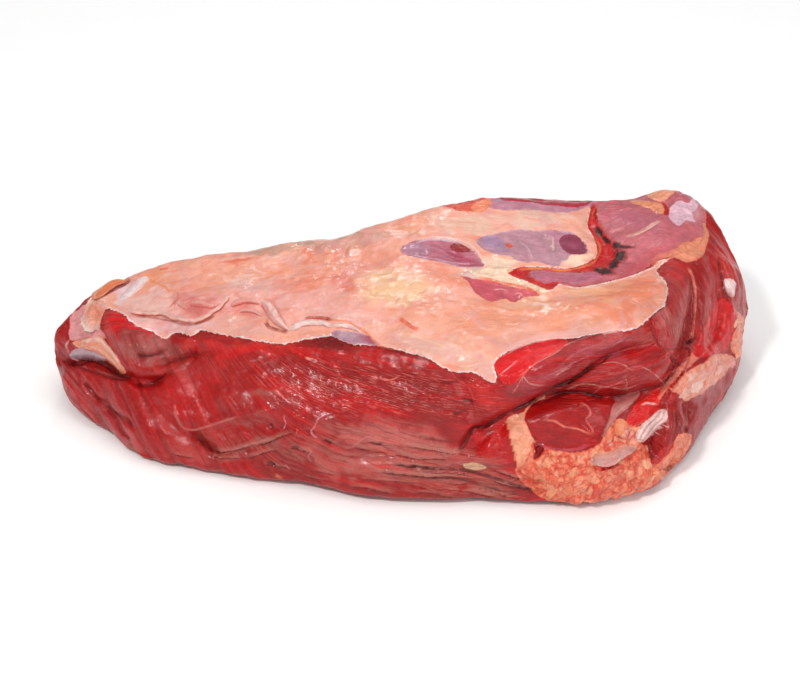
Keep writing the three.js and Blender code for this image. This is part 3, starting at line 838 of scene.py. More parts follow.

# Broad tints on the red muscle and on the membrane: (centre, radii, turn in degrees, colour, strength).
# The brownish pink tints of the muscle are painted sheen, where its fibres catch the light.
FLESH_TINTS = [
    ((345, 372), (110, 26), 8, (160, 18, 30), 0.8),
    ((430, 400), (60, 30), 20, (158, 22, 34), 0.7),
    ((255, 347), (48, 9), 3, (216, 62, 50), 0.8),
    ((180, 345), (36, 8), 10, (200, 50, 44), 0.6),
    ((112, 322), (16, 20), 30, (224, 32, 38), 0.9),
    ((150, 330), (44, 9), 26, (196, 26, 38), 0.8),
    ((160, 350), (46, 20), 24, (160, 98, 92), 0.8),
    ((190, 392), (46, 30), 50, (202, 34, 44), 0.6),
    ((140, 408), (26, 30), 30, (168, 24, 38), 0.7),
    ((236, 352), (70, 9), 6, (224, 44, 46), 0.7),
    ((330, 352), (90, 8), 8, (206, 34, 40), 0.6),
    ((300, 396), (60, 10), 20, (214, 34, 40), 0.6),
    ((370, 404), (80, 8), 8, (206, 34, 40), 0.6),
    ((486, 392), (34, 22), 20, (214, 34, 42), 0.6),
    ((486, 444), (18, 14), 10, (206, 28, 40), 0.8),
    ((255, 394), (30, 6), -14, BROWN_SHEEN, 0.55),
    ((245, 418), (34, 6), -10, BROWN_SHEEN, 0.5),
    ((250, 446), (48, 7), -15, BROWN_SHEEN, 0.6),
    ((400, 446), (84, 30), 8, (216, 112, 106), 0.85),
    ((350, 462), (64, 18), 8, (202, 104, 98), 0.7),
    ((470, 478), (80, 16), 6, (204, 106, 98), 0.6),
    ((122, 316), (16, 11), 42, (230, 28, 36), 0.95),
    ((140, 324), (18, 7), 24, (218, 34, 42), 0.9),
    ((676, 272), (22, 14), 0, (208, 42, 44), 0.85),
    ((155, 358), (18, 13), 40, (166, 100, 98), 0.6),
    ((205, 441), (24, 10), 10, (150, 84, 78), 0.6),
    ((110, 418), (24, 34), -20, (178, 60, 66), 0.6),
    ((84, 396), (14, 24), -20, (196, 84, 84), 0.6),
    ((120, 440), (26, 10), 30, (196, 88, 84), 0.6),
    ((185, 455), (34, 9), 14, (192, 84, 80), 0.6),
    ((165, 420), (24, 26), 30, (190, 30, 36), 0.5),
    ((245, 428), (56, 12), 10, (190, 34, 40), 0.4),
    ((440, 488), (60, 10), 4, (166, 30, 38), 0.5),
    ((540, 385), (46, 16), -26, (192, 92, 104), 0.5),
    ((520, 372), (40, 18), -30, (190, 44, 54), 0.7),
    ((600, 348), (44, 14), -14, (190, 92, 104), 0.55),
    ((630, 372), (50, 22), -8, (184, 44, 48), 0.8),
    ((676, 312), (22, 56), 2, (168, 58, 58), 0.7),
    ((720, 322), (20, 40), 0, (205, 34, 38), 0.7),
    ((728, 262), (16, 30), 0, (212, 60, 50), 0.6),
    ((62, 330), (12, 18), 20, (176, 40, 46), 0.7),
    ((60, 358), (12, 18), 0, (128, 18, 28), 0.5),
    ((665, 455), (16, 24), 20, (206, 60, 56), 0.7),
    ((640, 484), (40, 14), -20, (216, 70, 60), 0.6),
]
SHEET_TINTS = [
    ((180, 300), (80, 30), -6, (234, 160, 152), 0.8),
    ((150, 305), (40, 18), 0, (238, 190, 180), 0.8),
    ((126, 294), (20, 10), -42, (236, 204, 210), 0.8),
    ((160, 280), (24, 7), -30, (236, 158, 122), 0.6),
    ((170, 325), (60, 9), 4, (234, 184, 186), 0.9),
    ((195, 308), (24, 12), 6, (226, 122, 116), 0.8),
    ((240, 306), (30, 11), 8, (226, 122, 114), 0.8),
    ((250, 330), (40, 8), 4, (226, 166, 156), 0.7),
    ((300, 300), (70, 26), -4, (238, 170, 160), 0.7),
    ((330, 252), (24, 10), -8, (200, 134, 118), 0.85),
    # Painted shade: a dusky brown band along the membrane's back edge.
    ((290, 247), (90, 6), -8, (192, 152, 134), 0.85),
    ((220, 280), (70, 16), -10, (238, 160, 132), 0.6),
    ((300, 270), (60, 14), -8, (240, 150, 118), 0.6),
    ((370, 262), (44, 12), -10, (232, 138, 112), 0.6),
    ((448, 282), (26, 14), 0, (242, 146, 118), 0.7),
    # Painted shade: a brownish band near the membrane's back edge.
    ((330, 228), (80, 6), -12, (214, 150, 124), 0.7),
    ((190, 262), (60, 5), -12, (226, 158, 136), 0.6),
    ((310, 256), (14, 5), -4, (232, 122, 92), 0.8),
    ((240, 262), (26, 4), -6, (228, 112, 86), 0.7),
    ((342, 282), (22, 12), 0, (230, 122, 104), 0.7),
    ((248, 285), (18, 12), 0, (212, 168, 158), 0.7),
    ((282, 290), (20, 9), -10, (232, 188, 184), 0.7),
    ((395, 288), (44, 26), 0, (242, 194, 146), 0.85),
    ((372, 240), (26, 10), -10, (188, 142, 120), 0.75),
    ((413, 228), (22, 12), -16, (226, 154, 114), 0.7),
    ((466, 226), (44, 12), -4, (230, 188, 166), 0.8),
    ((540, 219), (60, 9), 0, (232, 190, 172), 0.8),
    ((412, 322), (20, 12), 20, (230, 108, 72), 0.7),
    ((340, 312), (50, 12), 4, (240, 176, 168), 0.7),
    ((240, 290), (40, 14), -6, (236, 178, 172), 0.6),
    ((300, 282), (40, 8), -24, (234, 120, 92), 0.55),
    ((150, 274), (30, 8), -24, (240, 152, 104), 0.6),
    ((430, 322), (60, 22), 10, (240, 172, 146), 0.7),
    ((502, 262), (30, 9), 6, (248, 218, 190), 0.9),
    ((580, 262), (26, 8), -6, (250, 216, 188), 0.9),
    ((478, 270), (20, 5), 8, (206, 196, 196), 0.6),
    ((480, 320), (60, 24), 6, (238, 154, 122), 0.85),
    ((470, 355), (44, 16), 20, (244, 194, 170), 0.8),
    ((430, 344), (40, 12), 16, (240, 184, 172), 0.6),
    ((560, 312), (60, 22), -4, (238, 152, 118), 0.85),
    ((630, 300), (44, 28), -10, (234, 134, 100), 0.9),
    ((596, 290), (40, 13), -4, (246, 180, 136), 0.8),
    ((648, 282), (16, 14), 0, (236, 140, 112), 0.8),
    ((520, 300), (44, 12), 4, (244, 184, 146), 0.6),
    ((544, 304), (14, 5), 10, (250, 222, 206), 0.9),
]
PATCH_TINTS = [
    ((416, 250), (22, 9), 8, (176, 124, 142), 0.9),
    ((462, 258), (22, 9), 24, (176, 66, 92), 0.9),
    ((494, 242), (24, 10), 20, (166, 134, 166), 0.8),
    ((560, 236), (22, 8), 10, (196, 130, 152), 0.8),
    ((348, 334), (12, 6), 10, (192, 156, 168), 0.9),
    ((370, 340), (12, 6), 30, (178, 86, 106), 0.9),
    ((648, 262), (40, 14), -30, (206, 88, 96), 0.7),
    ((640, 222), (34, 14), 8, (202, 116, 132), 0.7),
    ((620, 215), (22, 10), 8, (198, 104, 120), 0.6),
    ((694, 212), (12, 14), 30, (222, 170, 172), 0.6),
    ((568, 492), (40, 12), 6, (232, 122, 96), 0.6),
    ((618, 476), (40, 14), -8, (238, 146, 120), 0.7),
    ((545, 470), (16, 18), 40, (236, 140, 104), 0.6),
    ((620, 440), (24, 12), -20, (240, 190, 178), 0.8),
]

# How the pieces of red muscle run: the slope of their fibres down the front wall, at distances along it.
FIBRE_SLOPE_AT = (-232, -182, -130, -91, -39, 60, 232)
FIBRE_SLOPE = (1.0, 1.7, 1.9, 0.85, 0.22, 0.15, 0.1)

# Where the fibres of the cut end run up and down instead of along.
UPRIGHT_FIBRES = [
    (655, 268), (672, 256), (700, 244), (716, 210), (760, 240), (770, 330), (730, 400), (690, 450),
    (660, 470), (648, 440), (666, 400), (676, 384), (690, 350), (662, 348), (650, 320), (668, 300),
]

# Where fine pale grain, torn ledges, painted sheen and painted white glints show: (centre, radii, turn,
# strength).
GRAIN_AREAS = [
    ((350, 386), (120, 32), 6, 1),
    ((440, 394), (56, 26), 20, 0.9),
    ((210, 362), (66, 22), 10, 0.4),
    ((480, 412), (30, 24), 0, 0.6),
    ((600, 372), (84, 26), -10, 0.45),
    ((720, 320), (24, 60), 0, 0.5),
    ((676, 310), (18, 60), 0, 0.6),
]
LEDGE_AREAS = [
    ((390, 455), (110, 36), 8, 1),
    ((285, 448), (74, 26), 6, 0.75),
    ((480, 484), (74, 14), 6, 0.7),
    ((210, 440), (40, 20), 6, 0.4),
]
SHEEN_AREAS = [
    ((400, 452), (140, 34), 8, 1),
    ((280, 446), (60, 30), 4, 0.7),
    ((200, 432), (50, 34), 20, 0.35),
    ((150, 358), (36, 24), 36, 1),
    ((250, 400), (50, 14), -8, 0.5),
    ((110, 420), (50, 34), 40, 0.3),
    ((540, 384), (60, 24), -28, 0.5),
    ((620, 350), (60, 22), -10, 0.6),
    ((672, 310), (28, 60), 0, 0.8),
    ((480, 486), (80, 18), 6, 0.9),
    ((700, 410), (24, 30), 20, 0.8),
]
GLINT_AREAS = [
    ((294, 382), (10, 7), 40, 1),
    ((314, 395), (15, 5), 30, 1),
    ((297, 406), (20, 5), 28, 1),
    ((350, 392), (64, 14), 8, 0.55),
    ((410, 394), (44, 16), 14, 0.55),
    ((484, 382), (22, 9), 20, 0.9),
    ((506, 380), (5, 9), 0, 1),
    ((196, 352), (26, 8), 20, 0.4),
    ((225, 317), (14, 5), 0, 0.9),
    ((440, 322), (46, 24), 12, 0.6),
    ((396, 272), (34, 22), 0, 0.4),
    ((545, 304), (20, 6), 14, 1),
    ((572, 314), (40, 12), 0, 0.5),
    ((628, 305), (22, 10), 0, 0.7),
    ((683, 212), (14, 12), 30, 0.8),
    ((727, 288), (7, 12), 0, 0.8),
    ((655, 425), (14, 16), -40, 0.8),
    ((590, 472), (60, 26), 0, 0.35),
    ((541, 281), (9, 4), 0, 1),
    ((570, 410), (10, 10), 0, 0.4),
]

# The upper layer of the membrane at the narrow end, whose torn edge lies over a smooth lower layer.
UPPER_SHEET = [
    (84, 280), (150, 255), (240, 235), (300, 225), (340, 240), (352, 300), (356, 326), (362, 331),
    (352, 326), (340, 322), (325, 318), (303, 315), (292, 320), (289, 330), (283, 322), (277, 312),
    (270, 303), (262, 303), (250, 303), (240, 299), (233, 297), (228, 302), (224, 304), (221, 309),
    (214, 313), (208, 318), (199, 322), (190, 323), (178, 321), (170, 320), (162, 315), (153, 316),
    (140, 315), (126, 313), (112, 306), (96, 300),
]

# The thick red lip of the front muscle, over the torn pocket.
RED_LIP = [
    (106, 307), (112, 309), (124, 315), (130, 320), (140, 327), (152, 331), (163, 338), (173, 334),
    (182, 338), (196, 344), (190, 362), (170, 374), (150, 378), (136, 376), (124, 366), (114, 350),
    (106, 338), (100, 327), (98, 321), (99, 314),
]

# Torn ledges of the front wall: (lower edge, width in pixels, rise in millimetres).
LEDGES = [
    ([(393, 445), (412, 447), (426, 449), (442, 452), (455, 454), (464, 453)], 8, 1.6),
    ([(388, 457), (399, 455), (418, 459), (440, 459), (452, 461)], 7, 1.2),
    ([(378, 463), (399, 465), (419, 467), (438, 469), (454, 468)], 6, 1.4),
    ([(366, 472), (387, 473), (406, 475), (430, 477), (452, 478), (477, 477)], 7, 1.5),
    ([(352, 478), (380, 480), (406, 482), (424, 484)], 5, 1.0),
    ([(345, 487), (361, 487), (380, 491), (400, 495)], 6, 1.1),
    ([(488, 468), (508, 475), (522, 479), (540, 481)], 5, 1.6),
    ([(476, 473), (497, 482), (515, 487), (534, 489), (547, 492)], 7, 1.7),
    ([(461, 489), (482, 488), (494, 492), (510, 497), (528, 499)], 8, 1.4),
    ([(420, 488), (453, 490), (471, 492), (489, 496), (506, 499)], 7, 1.4),
    ([(408, 494), (424, 492), (440, 495), (460, 498)], 5, 1.0),
    ([(320, 438), (330, 442), (342, 444)], 5, 1.0),
    ([(366, 441), (384, 445), (396, 446)], 6, 1.1),
    ([(286, 447), (301, 450), (314, 454)], 6, 1.2),
    ([(262, 464), (278, 466), (292, 469)], 5, 1.1),
    ([(329, 458), (342, 460), (355, 464)], 6, 0.8),
    ([(240, 458), (255, 456), (266, 452), (283, 449)], 6, 1.2),
    ([(282, 452), (295, 456), (304, 463)], 5, 0.8),
    ([(250, 446), (266, 443), (284, 435), (296, 432)], 6, 1.5),
    ([(213, 449), (222, 452), (239, 449), (260, 443)], 6, 1.3),
    ([(208, 453), (217, 457), (230, 458), (258, 457)], 5, 1.0),
    ([(340, 428), (352, 431), (364, 433), (378, 437)], 5, 0.6),
    ([(380, 418), (396, 422), (414, 425), (434, 430)], 5, 0.5),
    ([(350, 446), (362, 449), (376, 452), (390, 452)], 6, 0.9),
    ([(404, 434), (420, 436), (438, 440), (452, 441)], 6, 0.9),
    ([(310, 470), (326, 473), (344, 476)], 5, 0.9),
    ([(440, 482), (456, 484), (474, 483)], 5, 0.9),
    ([(300, 474), (318, 479), (338, 481)], 4, 0.8),
    ([(169, 452), (182, 456), (196, 458)], 5, 1.0),
    ([(76, 404), (88, 414), (100, 428), (112, 438)], 5, 1.2),
    ([(102, 428), (116, 440), (130, 449), (146, 455)], 5, 1.2),
    ([(97, 399), (108, 406), (120, 416), (132, 426)], 5, 1.0),
    ([(92, 368), (102, 373), (112, 376), (124, 377)], 4, 1.0),
]

# Relief of the shown side, with places in pixels and heights in millimetres: first the broad forms.
BROAD_RELIEF = [
    crease([(594, 200), (590, 224), (606, 247), (594, 264), (560, 270), (520, 272)], 2.2, 8),
    swell((542, 281), (30, 14), 12, 3),
    swell((650, 232), (54, 34), -6, 5),
    swell((420, 300), (80, 34), 10, 3),
    swell((600, 306), (80, 24), -8, 4),
    swell((556, 368), (74, 27), -24, 10),
    swell((628, 372), (62, 26), -8, 7),
    swell((676, 300), (24, 56), 2, 4),
    crease([
        (652, 344), (616, 354), (584, 364), (566, 382), (545, 399), (520, 413), (496, 426), (474, 443),
        (452, 450),
    ], 6, 9),
    crease([
        (645, 346), (612, 354), (585, 372), (570, 381), (558, 386), (541, 397), (527, 405), (507, 413),
        (485, 426), (470, 433), (459, 450),
    ], 4, 3.4, sharp=True),
    crease([
        (534, 404), (566, 395), (600, 394), (640, 394), (664, 387), (676, 372), (688, 350), (693, 318),
        (692, 276),
    ], 6, 9),
    crease([
        (545, 397), (580, 392), (603, 398), (628, 395), (644, 389), (660, 385), (674, 370), (677, 361),
        (686, 342), (692, 318), (694, 290), (688, 268),
    ], 4, 3.4, sharp=True),
    swell((567, 420), (50, 36), 8, -9),
    swell((567, 422), (42, 28), 8, 10),
    swell((590, 474), (92, 34), 0, 7),
    crease([(508, 418), (500, 440), (520, 474), (552, 494)], 3, 7),
    plateau(PINK_PAD, 2.6, 5),
    crease([(660, 402), (653, 432), (648, 462)], 5, 7),
    swell((672, 436), (20, 38), 12, 7),
    crease([(690, 398), (684, 428), (676, 456), (668, 474)], 5, 6),
    crease([(708, 250), (718, 300), (710, 346)], 3, 8),
    crease([(340, 452), (400, 456), (452, 466), (508, 476), (552, 494)], 3.4, 6),
    crease([(400, 480), (450, 484), (500, 489), (540, 497)], 2.4, 6),
    crease([(458, 374), (468, 396), (478, 420), (486, 430)], 3.6, 7),
    swell((300, 415), (150, 44), 4, 4),
    swell((132, 340), (42, 26), 38, 6),
    crease([(62, 362), (88, 361), (112, 370), (138, 379), (168, 382)], 5, 6),
    crease([(96, 312), (106, 334), (122, 356)], 3.5, 6),
    crease([(88, 302), (108, 290), (136, 279)], 2.4, 6),
    crease([(128, 352), (162, 362), (206, 352)], 2.4, 8),
    crease([(168, 398), (176, 420), (196, 436), (222, 452)], 2.6, 7),
    crease([(180, 428), (220, 430), (262, 424), (300, 434)], 2.4, 7),
    crease([(150, 362), (190, 352), (240, 350), (300, 356)], 2.2, 7),
    ridge([(160, 400), (178, 418), (190, 431), (214, 424), (244, 415), (276, 412)], 2.2, 6),
    ridge([(214, 458), (250, 446), (284, 436), (300, 430)], 2, 6),
    crease([(150, 396), (172, 426), (200, 447), (236, 462)], 2, 7),
    swell((120, 414), (38, 30), 40, 3),
    swell((84, 388), (20, 26), 20, 2),
    crease(LONG_FOLD, 2.4, 4),
    crease(LOW_FOLD, 2, 4),
    crease([(91, 411), (100, 421), (114, 435), (126, 445), (142, 453), (156, 458)], 1.8, 4),
    crease(LIP_FOLD, 2.6, 4),
    crease([(137, 356), (149, 356), (162, 354), (176, 348)], 1.8, 3.5),
    crease([(147, 366), (175, 361), (188, 357), (200, 353)], 1.8, 3.5),
    crease([(240, 372), (270, 362), (300, 358)], 1.6, 5),
    crease([(188, 431), (200, 440), (213, 450), (221, 453), (240, 450), (262, 443), (284, 436)], 2.6, 3.6),
    swell((174, 388), (26, 30), 50, 2),
    swell((222, 392), (40, 24), 40, 2.4),
    swell((150, 428), (26, 20), 30, 2.2),
    swell((350, 440), (34, 12), 6, 1.6),
    swell((300, 440), (26, 12), 0, 2),
    crease([(336, 430), (330, 440), (322, 452)], 1.4, 4),
    crease([(430, 436), (436, 444), (444, 450)], 1.4, 4),
    swell((430, 404), (46, 24), 30, 3),
    crease([(380, 376), (410, 384), (444, 398), (470, 418)], 1.6, 6),
    swell((240, 300), (52, 14), 4, 2.4),
    swell((196, 306), (34, 12), 8, 2),
    crease([(168, 296), (176, 306), (188, 314), (204, 316)], 1.6, 5),
    crease([(262, 300), (268, 312), (280, 320)], 1.4, 4),
    swell((345, 300), (46, 16), 6, 1.6),
    swell((470, 340), (40, 14), 20, 1.6),
    swell((700, 320), (16, 56), -18, 3),
    crease([(700, 356), (716, 330), (722, 306), (716, 290)], 2.2, 5),
]

# What lies on the broad forms.
FINE_RELIEF = [
    *(ledge(*entry) for entry in LEDGES),
    plateau(MEMBRANE, 1.3, 1),
    fading(plateau(UPPER_SHEET, 1.1, 0.9), 280, 340),
    plateau(RED_LIP, 1.6, 1.6),
    *(plateau(outline, rise, 1.3) for outline, *_, rise, lobed in PATCHES + MARKS if rise and not lobed),
    *(fat_lobes(outline, 11, 3.4 * lobed, 30) for outline, *_, lobed in PATCHES if lobed),
    *(crease(path, 1.2, 1.8 * half_width) for path, half_width, *_ in SHADE_LINES),
    *(ridge(path, 0.4, 1.6 * half_width) for path, half_width, *_ in THIN_LINES),
]

# Seams between the muscles of the back flank, as (x, z) on it in millimetres.
LONG_SEAM = [(-190, 34), (-120, 50), (-40, 52), (40, 66), (120, 60), (196, 66)]
END_SEAM = [(30, 64), (74, 44), (130, 26), (190, 22)]
SHORT_SEAM = [(-130, 49), (-84, 30), (-20, 20)]
BACK_SEAMS = [
    crease(LONG_SEAM, 4, 6),
    crease(LONG_SEAM, 2.4, 2, sharp=True),
    crease(END_SEAM, 3, 5),
    crease(END_SEAM, 2, 1.8, sharp=True),
    crease(SHORT_SEAM, 2.6, 5),
    crease(SHORT_SEAM, 1.6, 1.6, sharp=True),
]

# Fat along two of them and elsewhere: (path, half width in millimetres).
BACK_FAT = [
    (LONG_SEAM, 0.5),
    (END_SEAM, 1.5),
    ([(150, 84), (190, 70), (222, 60)], 5),
    ([(-210, 14), (-150, 10), (-60, 8)], 1),
]
BACK_FAT_REACH = 40

# Layers of noise, as layered takes them.
BACK_FAT_EDGE = [(1.8, 0.5, 5, 75)]
ROUGHNESS = [(0.9, 1, 24, 3), (0.5, 1, 11, 1), (0.2, 1, 4, 2)]
BACK_ROUGHNESS = [(2.4, 0.5, 22, 4), (0.8, 0.4, 9, 5)]
FOLDS = [(1, 0.34, 17, 21), (0.6, 0.4, 8, 22)]
BUNDLES = [(1, 0.16, 5, 11), (0.5, 0.2, 2.6, 12)]
WRINKLES = [(1, 0.45, 11, 31), (0.4, 0.6, 4.5, 32)]
LEDGE_BEND = [(1.3, 0.4, 13, 7), (0.5, 0.5, 5, 8)]
BACK_SHEET_EDGE = [(11, 1, 38, 5), (4, 1, 12, 6)]
HORIZON_EDGE = [(2.5, 1, 9, 9)]


def back_fat(points):
    """How far inside the fat of the back each point is, in millimetres."""
    flat = points[:, [0, 2]]
    reach = []
    for number, (path, width) in enumerate(BACK_FAT):
        distance, _ = path_distance(smooth_path(path), flat, BACK_FAT_REACH)
        reach.append(width + layered(points, [(7, 0.35, 22, 71 + number)]) - distance)
    return np.max(reach, axis=0) + layered(points, BACK_FAT_EDGE)


def unevenness(points):
    """Broad unevenness of soft meat, from three crossed waves."""
    x, y, z = points.T
    return (
        np.sin(x / 21 + y / 33 + 0.7) * np.sin(z / 15 + x / 40)
        + 0.6 * np.sin(y / 13 - x / 29 + 2.1) * np.sin(z / 11 + 0.4)
        + 0.5 * np.sin(x / 9.5 + z / 17 + 1.2) * np.sin(y / 12 + 0.9)
    )


UNEVEN_HEIGHT = 1.1
LEDGE_SPACING = 5.2
LEDGE_RISE = 0.5
FOLD_RISE = 0.6
BUNDLE_RISE = 0.4
WRINKLE_RISE = 0.7
SHEET_COVER = 0.85
SHEET_REACH = 20
UPRIGHT_ZONE = 40


def ring_normals(rings):
    """Smooth normals of a grid of rings."""
    along = np.gradient(rings, axis=0)
    around = np.roll(rings, -1, axis=1) - np.roll(rings, 1, axis=1)
    normals = np.cross(along, around).reshape(-1, 3)
    return normals / np.linalg.norm(normals, axis=1, keepdims=True)


class Skin:
    """The body's surface as a grid of points, with what the relief and the paint need to know at each."""

    def __init__(self):
        rings, places = make_rings()
        self.shape = places.shape
        self.points = rings.reshape(-1, 3)
        self.normals = ring_normals(rings)
        self.down = self.measure_down(rings, places).ravel()
        self.facing = self.towards_eye()
        self.raise_relief()

    @staticmethod
    def measure_down(rings, places):
        """Length down the front wall from the rim, negative over the top and the back."""
        steps = np.linalg.norm(np.diff(rings, axis=1), axis=2)
        lengths = np.concatenate([np.zeros((len(rings), 1)), np.cumsum(steps, axis=1)], axis=1)
        rims = [np.interp(RIM_PLACE / PLACES, shares, length) for shares, length in zip(places, lengths)]
        return np.array(rims)[:, None] - lengths

    def towards_eye(self):
        way = EYE - self.points
        return np.sum(way * self.normals, axis=1) / np.linalg.norm(way, axis=1)

    def raise_relief(self):
        seen = smoothstep(0.02, 0.3, self.facing)
        behind = smoothstep(0.1, 0.5, self.normals[:, 1]) * (1 - seen)
        shown = seen > 0
        base = self.points.copy()
        rough = UNEVEN_HEIGHT * unevenness(base)
        rough += layered(base, ROUGHNESS)
        rough += behind * sum(seam(base[:, [0, 2]], base) for seam in BACK_SEAMS)
        rough += behind * layered(base, BACK_ROUGHNESS)
        rough += behind * smoothstep(-1, 2, back_fat(base)) * lobes(base, 10, 30)
        height = rough
        for _ in range(3):
            lifted = base + self.normals * height[:, None]
            spots = sight(lifted[shown])
            height = rough.copy()
            height[shown] += seen[shown] * sum(feature(spots, base[shown]) for feature in BROAD_RELIEF)
        self.points = base + self.normals * height[:, None]
        self.fibres = self.fibre()
        broad = layered(self.fibres, FOLDS)
        bundles = layered(self.fibres, BUNDLES)
        self.folds = broad + 0.5 * bundles
        height += (FOLD_RISE * broad + BUNDLE_RISE * bundles) * self.bareness()
        spots = sight(self.points[shown])
        fine = sum(feature(spots, base[shown]) for feature in FINE_RELIEF)
        self.wave = self.ledge_wave()
        ledges = coverage(LEDGE_AREAS, spots) * (self.wave[shown] % 1 - 0.5)
        wrinkles = layered(base[shown], WRINKLES)
        fine += WRINKLE_RISE * wrinkles * smoothstep(0, 5, depth_inside(MEMBRANE, spots, SHEET_REACH))
        height[shown] += seen[shown] * (fine + LEDGE_RISE * ledges)
        self.points = base + self.normals * height[:, None]
        self.points[:, 2] = np.maximum(self.points[:, 2], 0)

    def bareness(self):
        """1 on bare muscle and less under the membrane."""
        bare = np.ones(len(self.points))
        shown = self.facing > 0
        depth = depth_inside(MEMBRANE, sight(self.points[shown]), SHEET_REACH)
        bare[shown] = 1 - SHEET_COVER * smoothstep(-2, 2, depth)
        return bare

    def ledge_wave(self):
        """Counts up by one from each torn ledge of the front wall to the next, across the fibres."""
        return self.fibres[:, 1] / LEDGE_SPACING + layered(self.fibres, LEDGE_BEND)

    def fibre(self):
        """Coordinates in millimetres along and across the muscle's fibres, and which muscle they are in."""
        x, y, z = self.points.T
        grid = np.linspace(-240, 240, 481)
        slope = np.interp(grid, FIBRE_SLOPE_AT, FIBRE_SLOPE)
        drift = np.interp(x, grid, np.cumsum(slope))
        on_wall = smoothstep(-8, 6, self.down)
        along, across = x.copy(), self.down - on_wall * drift
        zone = np.zeros(len(x))
        upright = depth_inside(UPRIGHT_FIBRES, sight(self.points), 3) * (self.facing > 0) > 0
        along[upright] = z[upright]
        across[upright] = (x + y)[upright] * math.sqrt(0.5)
        zone[upright] = UPRIGHT_ZONE
        return np.stack([along, across, zone], axis=1)


def strayed(spots, points, amount):
    """Spots moved about by noise, so that what is drawn with them has irregular edges."""
    shifts = [
        noise(points, 17, 61 + axis) + 0.45 * noise(points, 5.5, 63 + axis)
        for axis in range(2)
    ]
    return spots + amount * np.stack(shifts, axis=1)


def tinted(base, tints, spots):
    colour = np.broadcast_to(base, (len(spots), 3)).copy()
    for centre, radii, turn, tint, strength in tints:
        amount = strength * smoothstep(1, 0, ellipse_reach(centre, radii, turn, spots))
        colour = mix(colour, pigment(*tint), amount[:, None])
    return colour


def level_paint(entries, spots):
    """Colour and rim of the outline each spot is deepest in or nearest to, that depth, how lobed it is."""
    depth = np.full(len(spots), -FAR)
    colour = np.zeros((len(spots), 3))
    rim = np.zeros((len(spots), 3))
    lobed = np.zeros(len(spots))
    for outline, *tints, _, lobing in entries:
        inside = depth_inside(outline, spots, 8)
        deeper = inside > depth
        depth[deeper] = inside[deeper]
        colour[deeper] = pigment(*tints[0])
        rim[deeper] = pigment(*tints[-1])
        lobed[deeper] = lobing
    return colour, rim, depth * MM_PER_PIXEL, lobed


LINE_REACH = 5


def line_paint(lines, spots):
    """The colour of the nearest line, the distance to it with a sign for the side, its strength and width."""
    nearest = np.full(len(spots), FAR)
    colour = np.zeros((len(spots), 3))
    offset = np.full(len(spots), FAR)
    strength = np.zeros(len(spots))
    width = np.full(len(spots), 0.5)
    for path, half_width, tint, amount in lines:
        path = smooth_path(path)
        distance, along, side = path_side(path, spots, LINE_REACH)
        nearer = distance < nearest
        nearest[nearer] = distance[nearer]
        offset[nearer] = distance[nearer] * side[nearer]
        colour[nearer] = pigment(*tint)
        width[nearer] = half_width
        span = np.minimum(along, 1 - along) * len(path)
        strength[nearer] = amount * smoothstep(0, 3, span[nearer]) * (distance[nearer] < LINE_REACH)
    return colour, offset * MM_PER_PIXEL, strength, width * MM_PER_PIXEL


def coverage(areas, spots):
    amount = np.zeros(len(spots))
    for centre, radii, turn, strength in areas:
        amount = np.maximum(amount, strength * smoothstep(1, 0.2, ellipse_reach(centre, radii, turn, spots)))
    return amount


def ledge_paint(spots):
    """The distance below the nearest ledge's edge in millimetres, the ledge's strength and its width."""
    nearest = np.ones(len(spots))
    values = np.zeros((len(spots), 3))
    for edge, width, rise in LEDGES:
        offset, reach, taper = ledge_reach(edge, width, spots)
        nearer = reach < nearest
        nearest[nearer] = reach[nearer]
        strength = min(1, 0.6 * rise) * taper * smoothstep(1, 0.75, reach)
        values[nearer] = np.stack([
            offset * MM_PER_PIXEL, strength, np.full(len(spots), width * MM_PER_PIXEL),
        ], axis=1)[nearer]
    return values


def clot_reach(spots):
    nearest = np.full(len(spots), BEYOND)
    for centre, radii, turn in CLOTS:
        nearest = np.minimum(nearest, ellipse_reach(centre, radii, turn, spots))
    return nearest


# The side away from the viewpoint: red muscle, with the membrane reaching down over the back edge.
BACK_REACH = 34
BACK_REACH_END = (30, 160)
BACK_REACH_LESS = 6
BACK_TINTS = [
    ((-150, 30), (60, 24), 0, (150, 26, 34), 0.7),
    ((-60, 34), (70, 20), 8, (188, 44, 46), 0.6),
    ((20, 40), (60, 18), -6, (156, 30, 38), 0.7),
    ((90, 50), (50, 16), 4, (196, 52, 50), 0.6),
    ((150, 40), (50, 26), -10, (150, 28, 36), 0.7),
    # Painted brownish sheen low on the back.
    ((60, 20), (90, 14), 0, (166, 78, 76), 0.5),
    ((-90, 16), (70, 12), 4, (168, 84, 80), 0.5),
]

BACK_FAT_TINTS = [
    ((-120, 44), (40, 20), 0, (246, 186, 150), 0.7),
    ((60, 60), (50, 20), 0, (232, 130, 100), 0.7),
    ((190, 64), (40, 24), 0, (246, 186, 154), 0.6),
]
BACK_SHEET_TINTS = [
    ((-160, 60), (50, 26), 0, (236, 150, 130), 0.6),
    ((-60, 84), (70, 20), 0, (248, 206, 180), 0.6),
    ((30, 90), (60, 26), 0, (236, 146, 118), 0.6),
    ((110, 90), (50, 22), 0, (246, 196, 170), 0.6),
]


def back_paint(points):
    flat = points[:, [0, 2]]
    muscle = tinted(pigment(*RED), BACK_TINTS, flat)
    stations, ridges = zip(*((girth["x"], girth["ridge"][1]) for girth in GIRTHS))
    ridge_z = np.interp(points[:, 0], stations, ridges)
    reach = BACK_REACH * (1 - smoothstep(*BACK_REACH_END, points[:, 0])) - BACK_REACH_LESS
    reach += layered(points, BACK_SHEET_EDGE)
    return muscle, reach - (ridge_z - points[:, 2])


# How far noise moves what is drawn, in pixels: broad tints, tints of patches, and edges.
TINT_STRAY = 13
PATCH_STRAY = 5
EDGE_STRAY = 1.2

